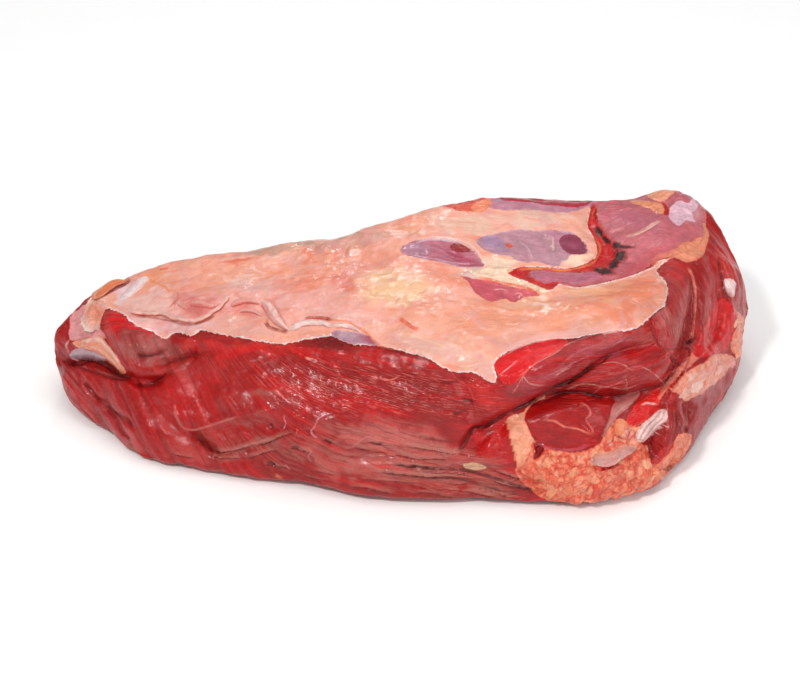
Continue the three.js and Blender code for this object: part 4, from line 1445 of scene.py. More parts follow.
# Cosines of the angle to the eye: where what is drawn fades out, and where the back's fat starts and is full.
SEEN_FACING = (-0.10, 0.02)
BACK_FACING = (-0.06, -0.2)
HORIZON_SLOPE = 80
BACK_FAT_COLOUR = (240, 156, 120)
BACK_FAT_RIM = (228, 122, 98)
# How much painted sheen the muscle has away from the shown side.
REST_SHEEN = 0.4


def paint(skin):
    """What the finish reads at each point of the skin: colours with a distance beside them, and vectors."""
    spots = sight(skin.points)
    seen = smoothstep(*SEEN_FACING, skin.facing)
    shown = seen > 0
    at, share = spots[shown], seen[shown]
    astray = strayed(at, skin.points[shown], TINT_STRAY)
    near = strayed(at, skin.points[shown], EDGE_STRAY)
    count = len(spots)
    flesh, sheet_edge = back_paint(skin.points)
    sheet = tinted(pigment(*PEACH), BACK_SHEET_TINTS, skin.points[:, [0, 2]])
    flesh[shown] = mix(flesh[shown], tinted(pigment(*RED), FLESH_TINTS, astray), share[:, None])
    sheet[shown] = mix(sheet[shown], tinted(pigment(*PEACH), SHEET_TINTS, astray), share[:, None])
    sheet_edge[shown] = mix(sheet_edge[shown], depth_inside(MEMBRANE, at, SHEET_REACH) * MM_PER_PIXEL, share)

    def on_shown(values, rest=0.0):
        whole = np.full((count, *values.shape[1:]), rest)
        whole[shown] = values
        return whole

    def beside(colour, distance):
        return np.concatenate([colour, distance[:, None]], axis=1)

    patch, rim, patch_depth, lobed = level_paint(PATCHES, near)
    patch = tinted(patch, PATCH_TINTS, strayed(at, skin.points[shown], PATCH_STRAY))
    mark, _, mark_depth, _ = level_paint(MARKS, near)
    horizon = HORIZON_SLOPE * (skin.facing[shown] - BACK_FACING[0])
    horizon += layered(skin.points[shown], HORIZON_EDGE)
    patch_depth = np.minimum(patch_depth, horizon)
    mark_depth = np.minimum(mark_depth, horizon)
    lobed = on_shown(lobed * smoothstep(-1, 1, patch_depth))
    patch, patch_depth = on_shown(patch), on_shown(patch_depth, -FAR)
    behind = np.flatnonzero(skin.facing < BACK_FACING[0])
    patch[behind] = tinted(pigment(*BACK_FAT_COLOUR), BACK_FAT_TINTS, skin.points[behind][:, [0, 2]])
    patch_depth[behind] = back_fat(skin.points[behind]) * smoothstep(*BACK_FACING, skin.facing[behind])
    lobed[behind] = smoothstep(-1, 1, patch_depth[behind])
    rim = on_shown(rim)
    rim[behind] = pigment(*BACK_FAT_RIM)
    gaps = np.zeros(count)
    fatty = lobed > 0
    gaps[fatty] = lobed[fatty] * (1 - lobes(skin.points[fatty], 9, 30) * lobes(skin.points[fatty], 4.5, 31))
    vein, vein_offset, vein_strength, vein_width = line_paint(THIN_LINES, at)
    slit_shade, slit_offset, slit_strength, slit_width = line_paint(SHADE_LINES, at)
    vectors = {
        "tissue": np.stack([gaps, lobed, on_shown(coverage(GLINT_AREAS, astray))], axis=1),
        "wall": np.stack([
            on_shown(coverage(GRAIN_AREAS, astray)),
            on_shown(coverage(LEDGE_AREAS, astray)),
            skin.wave,
        ], axis=1),
        "rim": rim,
        "vein_size": on_shown(np.stack([vein_strength, vein_width, 0 * vein_width], axis=1)),
        "slit_shade_size": on_shown(np.stack([slit_strength, slit_width, clot_reach(at)], axis=1), BEYOND),
        "fold": np.stack([
            skin.folds,
            on_shown(coverage(SHEEN_AREAS, astray), REST_SHEEN),
            skin.bareness(),
        ], axis=1),
        "ledge": on_shown(ledge_paint(at)),
        "flesh": flesh,
        "fibre": skin.fibres,
    }
    colours = {
        "sheet": beside(sheet, sheet_edge),
        "patch": beside(patch, patch_depth),
        "mark": beside(on_shown(mark), on_shown(mark_depth, -FAR)),
        "vein": beside(on_shown(vein), on_shown(vein_offset, FAR)),
        "slit_shade": beside(on_shown(slit_shade), on_shown(slit_offset, FAR)),
    }
    return {**vectors, **colours}


def grid_faces(rings, around):
    """Quads between rings of points, with a fan to each tip."""
    ring, place = np.meshgrid(np.arange(rings - 1), np.arange(around), indexing="ij")
    after = (place + 1) % around
    near, far = ring * around, (ring + 1) * around
    quads = np.stack([near + place, far + place, far + after, near + after], axis=-1).reshape(-1, 4)
    places = np.arange(around)
    turned = (places + 1) % around
    last = (rings - 1) * around
    first_fan = np.stack([np.full(around, rings * around), places, turned], axis=1)
    last_fan = np.stack([last + places, np.full(around, rings * around + 1), last + turned], axis=1)
    return quads, first_fan, last_fan


def grid_uvs(rings, around):
    """Where each face corner lies on a flat map of the skin."""
    ring, place = np.meshgrid(np.arange(rings - 1), np.arange(around), indexing="ij")
    quads = np.stack([
        np.stack([ring + 1, place], axis=-1),
        np.stack([ring + 2, place], axis=-1),
        np.stack([ring + 2, place + 1], axis=-1),
        np.stack([ring + 1, place + 1], axis=-1),
    ], axis=2).reshape(-1, 2)
    places = np.arange(around)
    ones = np.ones(around)
    first = np.stack([0 * ones, places + 0.5, ones, places, ones, places + 1], axis=1).reshape(-1, 2)
    last = np.stack([
        rings * ones, places, (rings + 1) * ones, places + 0.5, rings * ones, places + 1,
    ], axis=1).reshape(-1, 2)
    return np.concatenate([quads, first, last]) / (rings + 1, around)


def new_mesh(name, points, face_sets, uvs):
    """A smooth mesh from points in millimetres and arrays of faces."""
    mesh = bpy.data.meshes.new(name)
    corners = np.concatenate([faces.ravel() for faces in face_sets])
    sizes = np.concatenate([np.full(len(faces), faces.shape[1]) for faces in face_sets])
    mesh.vertices.add(len(points))
    mesh.vertices.foreach_set("co", (points * MM).ravel())
    mesh.loops.add(len(corners))
    mesh.loops.foreach_set("vertex_index", corners)
    mesh.polygons.add(len(sizes))
    mesh.polygons.foreach_set("loop_start", np.cumsum(sizes) - sizes)
    mesh.polygons.foreach_set("use_smooth", np.ones(len(sizes), bool))
    if uvs is not None:
        mesh.uv_layers.new(name="OFBake").data.foreach_set("uv", uvs.ravel())
    mesh.update(calc_edges=True)
    mesh.validate()
    return mesh


def store(mesh, name, values):
    """Keeps values on a mesh's points: three for a vector, four for a colour with a distance beside it."""
    if values.shape[1] == 3:
        mesh.attributes.new(name, "FLOAT_VECTOR", "POINT").data.foreach_set("vector", values.ravel())
    else:
        mesh.attributes.new(name, "FLOAT_COLOR", "POINT").data.foreach_set("color", values.ravel())


# The body is two pieces that share a ring, so that neither has too many triangles.
BODY_PIECES = {"meat_body_narrow": (0, 0.47), "meat_body_cut": (0.47, 1)}


def make_body():
    skin = Skin()
    rings, around = skin.shape
    values = paint(skin)
    normals = ring_normals(skin.points.reshape(rings, around, 3))
    quads, first_fan, last_fan = grid_faces(rings, around)
    uvs = grid_uvs(rings, around)
    pieces = []
    for name, (start, end) in BODY_PIECES.items():
        low, high = round(start * (rings - 1)), round(end * (rings - 1))
        kept = slice(low * around, (high + 1) * around)

        def closed(rows):
            tip = rows[:around] if start == 0 else rows[-around:]
            return np.concatenate([rows[kept], tip.mean(axis=0, keepdims=True)])

        tip_index = (high - low + 1) * around
        fan = (last_fan if start else first_fan).copy()
        tip_at = fan >= rings * around
        fan[~tip_at] -= low * around
        fan[tip_at] = tip_index
        strip = quads[low * around:high * around] - low * around
        corners = np.concatenate([
            uvs[4 * low * around:4 * high * around],
            uvs[4 * len(quads):][:3 * around] if start == 0 else uvs[4 * len(quads) + 3 * around:],
        ])
        mesh = new_mesh(name, closed(skin.points), (strip, fan), corners)
        for label, rows in values.items():
            store(mesh, label, closed(rows))
        mesh.normals_split_custom_set_from_vertices(closed(normals))
        pieces.append(add_object(name, mesh))
    return skin, pieces


# Most values of a noise node lie between these.
NOISE_SPAN = (0.3, 0.7)


class Finish:
    """A node material, with short calls for the nodes that the finishes below are made of."""

    def __init__(self, name):
        self.material = bpy.data.materials.new(name)
        self.material.use_nodes = True
        self.tree = self.material.node_tree
        self.shader = self.tree.nodes["Principled BSDF"]

    def plug(self, value, socket):
        if isinstance(value, bpy.types.NodeSocket):
            self.tree.links.new(value, socket)
        else:
            socket.default_value = value

    def node(self, kind, inputs, output=0, **settings):
        node = self.tree.nodes.new(kind)
        for setting, value in settings.items():
            setattr(node, setting, value)
        for name, value in inputs.items():
            self.plug(value, node.inputs[name])
        return node.outputs[output]

    def attribute(self, name, output="Vector"):
        return self.node("ShaderNodeAttribute", {}, output, attribute_name=name)

    def place(self):
        """Where a point of the piece is, in millimetres."""
        return self.scaled(self.node("ShaderNodeTexCoord", {}, "Object"), (1 / MM, 1 / MM, 1 / MM))

    def split(self, vector):
        node = self.tree.nodes.new("ShaderNodeSeparateXYZ")
        self.tree.links.new(vector, node.inputs[0])
        return node.outputs

    def scaled(self, vector, factors):
        return self.node("ShaderNodeVectorMath", {0: vector, 1: factors}, operation="MULTIPLY")

    def dimmed(self, colour, factor):
        return self.node("ShaderNodeVectorMath", {0: colour, "Scale": factor}, operation="SCALE")

    def varied(self, colour, noise, least, most):
        """A colour dimmed and brightened by a noise, between two factors."""
        return self.dimmed(colour, self.ramp(noise, *NOISE_SPAN, least, most, smooth=False))

    def sum(self, *values):
        total = values[0]
        for value in values[1:]:
            total = self.node("ShaderNodeMath", {0: total, 1: value}, operation="ADD")
        return total

    def product(self, *values):
        total = values[0]
        for value in values[1:]:
            total = self.node("ShaderNodeMath", {0: total, 1: value}, operation="MULTIPLY")
        return total

    def noise(self, vector, size=1, detail=3, roughness=0.55, distortion=0):
        inputs = {
            "Vector": vector,
            "Scale": 1 / size,
            "Detail": detail,
            "Roughness": roughness,
            "Distortion": distortion,
        }
        return self.node("ShaderNodeTexNoise", inputs)

    def colour_noise(self, vector, size):
        return self.node("ShaderNodeTexNoise", {"Vector": vector, "Scale": 1 / size, "Detail": 2}, "Color")

    def voronoi(self, vector, size, feature, output):
        inputs = {"Vector": vector, "Scale": 1 / size}
        return self.node("ShaderNodeTexVoronoi", inputs, output, feature=feature)

    def ramp(self, value, low, high, start=0, end=1, smooth=True):
        inputs = {"Value": value, "From Min": low, "From Max": high, "To Min": start, "To Max": end}
        kind = "SMOOTHSTEP" if smooth else "LINEAR"
        return self.node("ShaderNodeMapRange", inputs, interpolation_type=kind)

    def blend(self, factor, first, second):
        node = self.tree.nodes.new("ShaderNodeMix")
        node.data_type = "RGBA"
        self.plug(factor, node.inputs[0])
        self.plug(first, node.inputs[6])
        self.plug(second, node.inputs[7])
        return node.outputs[2]

    def finish(self, colour, roughness, height, wet_height=0.0, **constants):
        """Ends the material: heights in millimetres become the bumps of the surface and of its wet coat, and
        constants go on the shader's sockets."""
        self.plug(colour, self.shader.inputs["Base Color"])
        self.plug(roughness, self.shader.inputs["Roughness"])
        bump = self.node("ShaderNodeBump", {"Height": height, "Distance": MM})
        self.plug(bump, self.shader.inputs["Normal"])
        wet_bump = self.node("ShaderNodeBump", {"Height": wet_height, "Distance": MM})
        self.plug(wet_bump, self.shader.inputs["Coat Normal"])
        for name, value in constants.items():
            self.shader.inputs[name.replace("_", " ")].default_value = value
        return self.material


def tone(red, green, blue):
    return (*pigment(red, green, blue), 1)


MOIST = dict(
    Subsurface_Weight=0.12,
    Subsurface_Radius=(1.0, 0.35, 0.2),
    Subsurface_Scale=0.003,
    Specular_IOR_Level=0.22,
    Coat_Weight=0.5,
    Coat_Roughness=0.1,
    Coat_IOR=1.4,
)


def meat_finish():
    f = Finish("meat")
    place = f.place()
    fibre = f.attribute("fibre")
    tissue = f.split(f.attribute("tissue"))
    wall = f.split(f.attribute("wall"))
    gaps, lobed, glinting = tissue[0], tissue[1], tissue[2]
    graining, ledging, wave = wall[0], wall[1], wall[2]
    folding = f.split(f.attribute("fold"))
    fine = f.noise(f.scaled(fibre, (0.08, 1.1, 1)), 1, 4, distortion=0.3)
    broad = f.noise(f.scaled(fibre, (0.02, 0.24, 1)), 1, 3)
    short = f.noise(f.scaled(fibre, (0.13, 1.25, 1)), 1, 3)
    blot = f.noise(place, 15, 3)
    mottle = f.noise(place, 6, 4)
    speck = f.noise(place, 1.7, 3)
    wobble = f.ramp(f.noise(place, 2.6, 3), 0.3, 0.7, -0.7, 0.7, smooth=False)

    # The red muscle.
    flesh = f.blend(f.ramp(broad, 0.5, 0.66, 0, 0.55), f.attribute("flesh"), tone(220, 40, 42))
    flesh = f.blend(f.ramp(broad, 0.44, 0.32, 0, 0.5), flesh, tone(136, 8, 22))
    flesh = f.blend(f.ramp(blot, 0.48, 0.3, 0, 0.45), flesh, tone(134, 12, 24))
    # Painted shade in the valleys of the folds, and a painted brownish sheen on their crests.
    flesh = f.blend(f.ramp(folding[0], 0.1, -0.9, 0, 0.55), flesh, tone(138, 8, 22))
    crest_sheen = f.product(f.ramp(f.sum(folding[0], f.product(f.sum(fine, -0.5), 2.4)), 0.0, 0.9), folding[1])
    flesh = f.blend(f.product(crest_sheen, 0.5), flesh, tone(182, 104, 98))
    bands = f.ramp(f.noise(place, 30, 2), 0.38, 0.6, 0.25, 1)
    striped = f.product(bands, f.ramp(f.split(place)[0], -140, -50, 0.4, 1))
    streaked = f.varied(flesh, fine, 0.74, 1.22)
    flesh = f.blend(striped, flesh, streaked)
    flesh = f.varied(flesh, speck, 0.88, 1.12)
    pale = f.product(f.ramp(fine, 0.55, 0.68), f.ramp(mottle, 0.5, 0.65), 0.2)
    flesh = f.blend(pale, flesh, tone(212, 110, 104))
    grain = f.product(f.ramp(short, 0.52, 0.64), graining, 0.6)
    flesh = f.blend(grain, flesh, tone(226, 120, 112))

    # Torn ledges on it, first the many small ones and then the drawn ones, each painted with a sheen on its
    # upper face and with shade at its drop.
    tooth = f.node("ShaderNodeMath", {0: wave}, operation="FRACT")
    ledge_sheen = f.product(f.ramp(tooth, 0.3, 0.75), f.ramp(tooth, 1.0, 0.9), f.ramp(mottle, 0.3, 0.6, 0.4, 1))
    flesh = f.blend(f.product(ledge_sheen, ledging, 0.4), flesh, tone(186, 116, 102))
    root = f.product(f.ramp(tooth, 0.16, 0), ledging, f.ramp(blot, 0.45, 0.6), 0.6)
    flesh = f.blend(root, flesh, tone(130, 10, 22))

    ledge = f.split(f.attribute("ledge"))
    drop = f.sum(ledge[0], f.product(wobble, 0.5))
    lit = f.product(f.ramp(f.sum(drop, ledge[2]), 0, 3.2), f.ramp(drop, 0.1, -0.2), ledge[1])
    flesh = f.blend(f.product(lit, f.ramp(fine, 0.3, 0.6, 0.5, 1), 0.8), flesh, tone(190, 122, 110))
    ledge_shadow = f.product(f.ramp(drop, -0.2, 0.15), f.ramp(drop, 1.3, 0.4), ledge[1])
    flesh = f.blend(f.product(ledge_shadow, 0.75), flesh, tone(124, 10, 22))

    # The membrane, with a pale rim: a painted highlight along its cut edge.
    sheet_edge = f.attribute("sheet", "Alpha")
    sheet = f.varied(f.attribute("sheet", "Color"), blot, 0.93, 1.05)
    streak = f.noise(f.scaled(place, (0.07, 0.26, 0.26)), 1, 4, 0.6, distortion=1.2)
    veil = f.noise(f.scaled(place, (0.035, 0.085, 0.085)), 1, 4, 0.6, distortion=1.6)
    sheet = f.blend(f.ramp(veil, 0.52, 0.68, 0, 0.5), sheet, tone(240, 134, 108))
    sheet = f.blend(f.ramp(veil, 0.44, 0.3, 0, 0.5), sheet, tone(252, 214, 200))
    film = f.noise(place, 22, 3, distortion=0.8)
    sheet = f.blend(f.ramp(film, 0.54, 0.66, 0, 0.45), sheet, tone(226, 164, 160))
    sheet = f.blend(f.ramp(streak, 0.56, 0.7, 0, 0.25), sheet, tone(252, 220, 210))
    sheet = f.blend(f.ramp(streak, 0.4, 0.28, 0, 0.25), sheet, tone(232, 118, 96))
    sheet = f.blend(f.ramp(mottle, 0.62, 0.72, 0, 0.3), sheet, tone(224, 96, 84))
    on_sheet = f.ramp(f.sum(sheet_edge, wobble), -0.25, 0.25)
    rim = f.product(f.ramp(f.sum(sheet_edge, wobble), 1.3, 0.3), f.ramp(mottle, 0.35, 0.55, 0.3, 0.9))
    sheet = f.blend(rim, sheet, tone(255, 236, 232))
    colour = f.blend(on_sheet, flesh, sheet)

    # Patches, and the lobed fat among them.
    patch = f.varied(f.attribute("patch", "Color"), blot, 0.9, 1.1)
    patch = f.varied(patch, streak, 0.88, 1.1)
    patch = f.varied(patch, mottle, 0.86, 1.14)
    patch = f.blend(f.ramp(streak, 0.6, 0.75, 0, 0.3), patch, tone(236, 196, 200))
    patch = f.varied(patch, speck, 0.92, 1.08)
    bend = f.dimmed(f.colour_noise(place, 9), 5)
    bent = f.node("ShaderNodeVectorMath", {0: place, 1: bend}, operation="ADD")
    cell = f.voronoi(bent, 7.5, "F1", "Color")
    seam = f.voronoi(bent, 7.5, "DISTANCE_TO_EDGE", "Distance")
    lobule = f.ramp(seam, 0, 0.35)
    hue = f.split(cell)
    patch = f.blend(f.product(lobed, f.ramp(hue[0], 0.3, 0.9), 0.75), patch, tone(250, 168, 130))
    patch = f.blend(f.product(lobed, f.ramp(hue[1], 0.7, 1.0), 0.4), patch, tone(230, 92, 68))
    patch = f.blend(f.product(lobed, f.ramp(seam, 0.12, 0.0), 0.85), patch, tone(230, 82, 62))
    patch = f.blend(f.product(lobed, f.ramp(mottle, 0.5, 0.66), 0.5), patch, tone(252, 190, 156))
    patch = f.blend(f.product(f.ramp(gaps, 0.75, 1.0), 0.6), patch, tone(206, 52, 44))
    patch_edge = f.sum(f.attribute("patch", "Alpha"), f.product(wobble, 0.7))
    on_patch = f.ramp(patch_edge, -0.25, 0.25)
    patch_rim = f.product(f.ramp(patch_edge, 1.4, 0.2), f.ramp(mottle, 0.35, 0.6), 0.65)
    patch = f.blend(patch_rim, patch, f.attribute("rim"))
    colour = f.blend(on_patch, colour, patch)

    # Marks, thin lines, painted shade in slits, clots, and glints painted as white highlights.
    mark = f.varied(f.attribute("mark", "Color"), speck, 0.88, 1.12)
    mark = f.varied(mark, streak, 0.8, 1.18)
    mark = f.varied(mark, mottle, 0.84, 1.16)
    on_mark = f.ramp(f.sum(f.attribute("mark", "Alpha"), f.product(wobble, 0.5)), -0.3, 0.3)
    colour = f.blend(on_mark, colour, mark)

    sizes = {name: f.split(f.attribute(name + "_size")) for name in ("vein", "slit_shade")}

    def drawn(name, under):
        size = sizes[name]
        away = f.node("ShaderNodeMath", {0: f.attribute(name, "Alpha")}, operation="ABSOLUTE")
        core = f.ramp(f.sum(away, f.product(size[1], -1.5), f.product(wobble, 0.3)), 0.15, -0.5)
        amount = f.product(core, size[0], f.ramp(mottle, 0.3, 0.6, 0.35, 1))
        return amount, f.blend(amount, under, f.attribute(name, "Color"))

    vein, colour = drawn("vein", colour)
    slit_shade, colour = drawn("slit_shade", colour)
    clotted = f.sum(sizes["slit_shade"][2], f.product(f.sum(f.noise(place, 2.2, 4), -0.5), 4))
    colour = f.blend(f.ramp(clotted, 2.8, 1.3, 0, 0.75), colour, tone(150, 36, 24))
    colour = f.blend(f.ramp(clotted, 1.3, 0.7, 0, 0.92), colour, tone(*CLOT))
    # Painted highlights: white flecks along the fibres inside the glint areas.
    shine = f.noise(f.scaled(fibre, (0.26, 1.35, 1)), 1, 3)
    glint = f.product(f.ramp(shine, 0.6, 0.68), glinting, 0.7)
    twinkle = f.noise(f.scaled(fibre, (0.5, 1.1, 1)), 1, 2)
    spark = f.product(f.ramp(twinkle, 0.62, 0.66), f.ramp(glinting, 0.5, 0.9))
    glint = f.sum(glint, f.product(spark, 0.6))
    colour = f.blend(glint, colour, tone(252, 214, 204))

    # The bumps of the surface and of the wet coat.
    roughness = f.sum(f.ramp(speck, 0.3, 0.7, 0.3, 0.45, smooth=False), f.ramp(mottle, 0.6, 0.4, 0, 0.15))
    bare = f.ramp(on_sheet, 0, 1, 1, 0.25, smooth=False)
    height = f.sum(
        f.product(fine, bare, striped, 1.0),
        f.product(broad, bare, striped, 1.3),
        f.product(short, graining, 0.8),
        f.product(tooth, ledging, 0.9),
        f.product(speck, f.ramp(lobed, 0, 0.5, 0.3, 0.08)),
        f.product(mottle, 0.5),
        f.product(on_sheet, 0.35),
        f.product(lobule, lobed, 0.8),
        f.product(streak, 0.6),
        f.product(slit_shade, -0.7),
        f.product(vein, 0.15),
        f.product(glint, 0.2),
    )
    wet = f.sum(
        f.product(f.noise(f.scaled(fibre, (0.2, 0.8, 1)), 1, 2), bare, 0.2),
        f.product(lobule, lobed, 0.3),
        f.product(mottle, 0.3),
        f.product(speck, bare, 0.14),
        f.product(f.noise(f.scaled(place, (0.35, 0.8, 0.8)), 1, 3), 0.14),
    )
    return f.finish(colour, roughness, height, wet, **MOIST)


# Small pieces laid on the skin, each a thin closed sheet between two paths in the picture.
SURFACE_STRIDE = 2
LEAST_FACING = 0.35
LAID_STEP = 1.3
LAID_TUCK = 0.7
LEAST_STEPS = 6

# The noise that makes an edge ragged and a sheet rippled.
RAG_SIZE = 3.7
RAG_STEP = 7.3
RIPPLE_SIZE = 2.8
RIPPLE_SEED = 3


class Surface:
    """The skin as the eye sees it."""

    def __init__(self, skin):
        rings, around = skin.shape
        points = skin.points.reshape(rings, around, 3)[::SURFACE_STRIDE, ::SURFACE_STRIDE]
        quads, *_ = grid_faces(*points.shape[:2])
        self.tree = BVHTree.FromPolygons(points.reshape(-1, 3).tolist(), quads.tolist())

    def reach(self, spots):
        """For a grid of spots: their rays from the eye, the distance to the skin and how it faces the eye."""
        x = spots[..., :1] - PICTURE_WIDTH / 2
        y = PICTURE_HEIGHT / 2 - spots[..., 1:]
        rays = FOCAL_PIXELS * VIEW_FORWARD + x * np.array([1, 0, 0]) + y * VIEW_UP
        rays /= np.linalg.norm(rays, axis=-1, keepdims=True)
        reach = np.full(spots.shape[:2], np.nan)
        facing = np.full(spots.shape[:2], LEAST_FACING)
        for place in np.ndindex(reach.shape):
            ray = Vector(rays[place])
            _, normal, _, distance = self.tree.ray_cast(Vector(EYE), ray)
            if distance is not None:
                reach[place] = distance
                facing[place] = max(abs(ray.dot(normal)), LEAST_FACING)
        reach[np.isnan(reach)] = np.nanmax(reach)
        return rays, smoothed(reach), smoothed(facing)


def smoothed(grid):
    for _ in range(3):
        padded = np.pad(grid, 1, mode="edge")
        grid = (2 * grid + padded[2:, 1:-1] + padded[:-2, 1:-1] + padded[1:-1, 2:] + padded[1:-1, :-2]) / 6
    return grid


def spread(controls, along, across):
    """Values on a grid from controls, whose rows run along it and whose columns run across it."""
    rows = catmull(controls, along)
    return np.swapaxes(catmull(np.swapaxes(rows, 0, 1), across), 0, 1)


def lay(surface, first, second, lifts, colours, thickness=0.9, ragged=0.0, ripple=0.15, ends=0.15, seed=0):
    """A sheet from its first path to its second: lifts in millimetres and colours are given across it, or as
    rows along it of values across it. Its ends sink into the skin over a share of its length."""
    first, second = np.asarray(first, float), np.asarray(second, float)
    length = max(np.linalg.norm(np.diff(path, axis=0), axis=1).sum() for path in (first, second))
    width = np.linalg.norm(np.mean(second, axis=0) - np.mean(first, axis=0))
    along = np.linspace(0, 1, max(LEAST_STEPS, round(length / LAID_STEP)))
    across = np.linspace(0, 1, max(LEAST_STEPS, round(width / LAID_STEP)))
    lifts = np.atleast_2d(lifts)
    lifts = spread(lifts if len(lifts) > 1 else np.repeat(lifts, 2, axis=0), along, across)
    colours = colours if isinstance(colours[0], list) else [colours] * 2
    tint = spread(np.array([[pigment(*level) for level in row] for row in colours]), along, across)
    edges = catmull(first, along), catmull(second, along)
    shift = np.stack([
        noise(np.column_stack([edges[1], np.full(len(along), RAG_STEP * step)]), RAG_SIZE, seed)
        for step in (1, 2)
    ], axis=1)
    spots = mix(edges[0][:, None], (edges[1] + ragged * shift)[:, None], across[None, :, None])
    rays, reach, facing = surface.reach(spots)
    hold = smoothstep(0, ends, along) * smoothstep(0, ends, 1 - along) if ends else np.ones(len(along))
    lifts = mix(-LAID_TUCK, lifts, hold[:, None])

    def lifted(height):
        return EYE + rays * (reach - height / facing)[..., None]

    top = lifted(lifts)
    lifts = lifts + ripple * noise(top.reshape(-1, 3), RIPPLE_SIZE, seed + RIPPLE_SEED).reshape(lifts.shape)
    shape = len(along), len(across)
    run, step = np.meshgrid(along * length * MM_PER_PIXEL, across * width * MM_PER_PIXEL, indexing="ij")
    border = np.minimum(np.minimum(step, step[:, -1:] - step), np.minimum(run, run[-1:] - run))
    grain = np.stack([run, step, np.full(shape, 3.0 * seed)], axis=-1)
    colour = np.concatenate([tint, border[..., None]], axis=-1)
    return sheet_solid(lifted(lifts), lifted(lifts - thickness), colour, grain)


def sheet_solid(top, bottom, colour, grain):
    """The points, faces and values of a closed solid between two grids."""
    rows, columns = top.shape[:2]
    index = np.arange(rows * columns).reshape(rows, columns)
    under = index + rows * columns

    def quads(a, b, c, d):
        return np.stack([a.ravel(), b.ravel(), c.ravel(), d.ravel()], axis=1)

    faces = np.concatenate([
        quads(index[:-1, :-1], index[:-1, 1:], index[1:, 1:], index[1:, :-1]),
        quads(under[:-1, :-1], under[1:, :-1], under[1:, 1:], under[:-1, 1:]),
        quads(index[:-1, 0], index[1:, 0], under[1:, 0], under[:-1, 0]),
        quads(index[1:, -1], index[:-1, -1], under[:-1, -1], under[1:, -1]),
        quads(index[0, 1:], index[0, :-1], under[0, :-1], under[0, 1:]),
        quads(index[-1, :-1], index[-1, 1:], under[-1, 1:], under[-1, :-1]),
    ])
    points = np.concatenate([top.reshape(-1, 3), bottom.reshape(-1, 3)])
    return points, faces, np.tile(colour.reshape(-1, 4), (2, 1)), np.tile(grain.reshape(-1, 3), (2, 1))


def join_laid(name, sheets, material):
    points, faces, colour, grain = zip(*sheets)
    starts = np.cumsum([0] + [len(rows) for rows in points[:-1]])
    faces = np.concatenate([rows + start for rows, start in zip(faces, starts)])
    mesh = new_mesh(name, np.concatenate(points), (faces,), None)
    store(mesh, "tint", np.concatenate(colour))
    store(mesh, "grain", np.concatenate(grain))
    mesh.materials.append(material)
    return add_object(name, mesh)


def offset_path(path, step):
    return [(x + step[0], y + step[1]) for x, y in path]


OVAL_ENDS = 0.12
JITTER = 0.45


def oval(centre, radii, turn, sides=5):
    """The upper and the lower half of an oval, both from its left end to its right end."""
    angle = math.radians(turn)
    sweep = np.linspace(math.pi, 0, sides)
    wide, high = radii[0] * np.cos(sweep), radii[1] * np.sin(sweep)
    halves = []
    for sign in (-1, 1):
        down = sign * (high + OVAL_ENDS * radii[1])
        halves.append(np.stack([
            centre[0] + wide * math.cos(angle) - down * math.sin(angle),
            centre[1] + wide * math.sin(angle) + down * math.cos(angle),
        ], axis=1))
    return halves


def scatter(outline, spacing, margin, seed):
    """Jittered places inside an outline, about spacing pixels apart."""
    random = np.random.default_rng(seed)
    ring = smooth_path(outline, closed=True)
    low, high = ring.min(axis=0), ring.max(axis=0)
    steps = [np.arange(a, b, spacing) for a, b in zip(low, high)]
    grid = np.stack(np.meshgrid(*steps), axis=-1).reshape(-1, 2)
    grid = grid + random.uniform(-JITTER, JITTER, grid.shape) * spacing
    return grid[depth_inside(outline, grid) > margin]


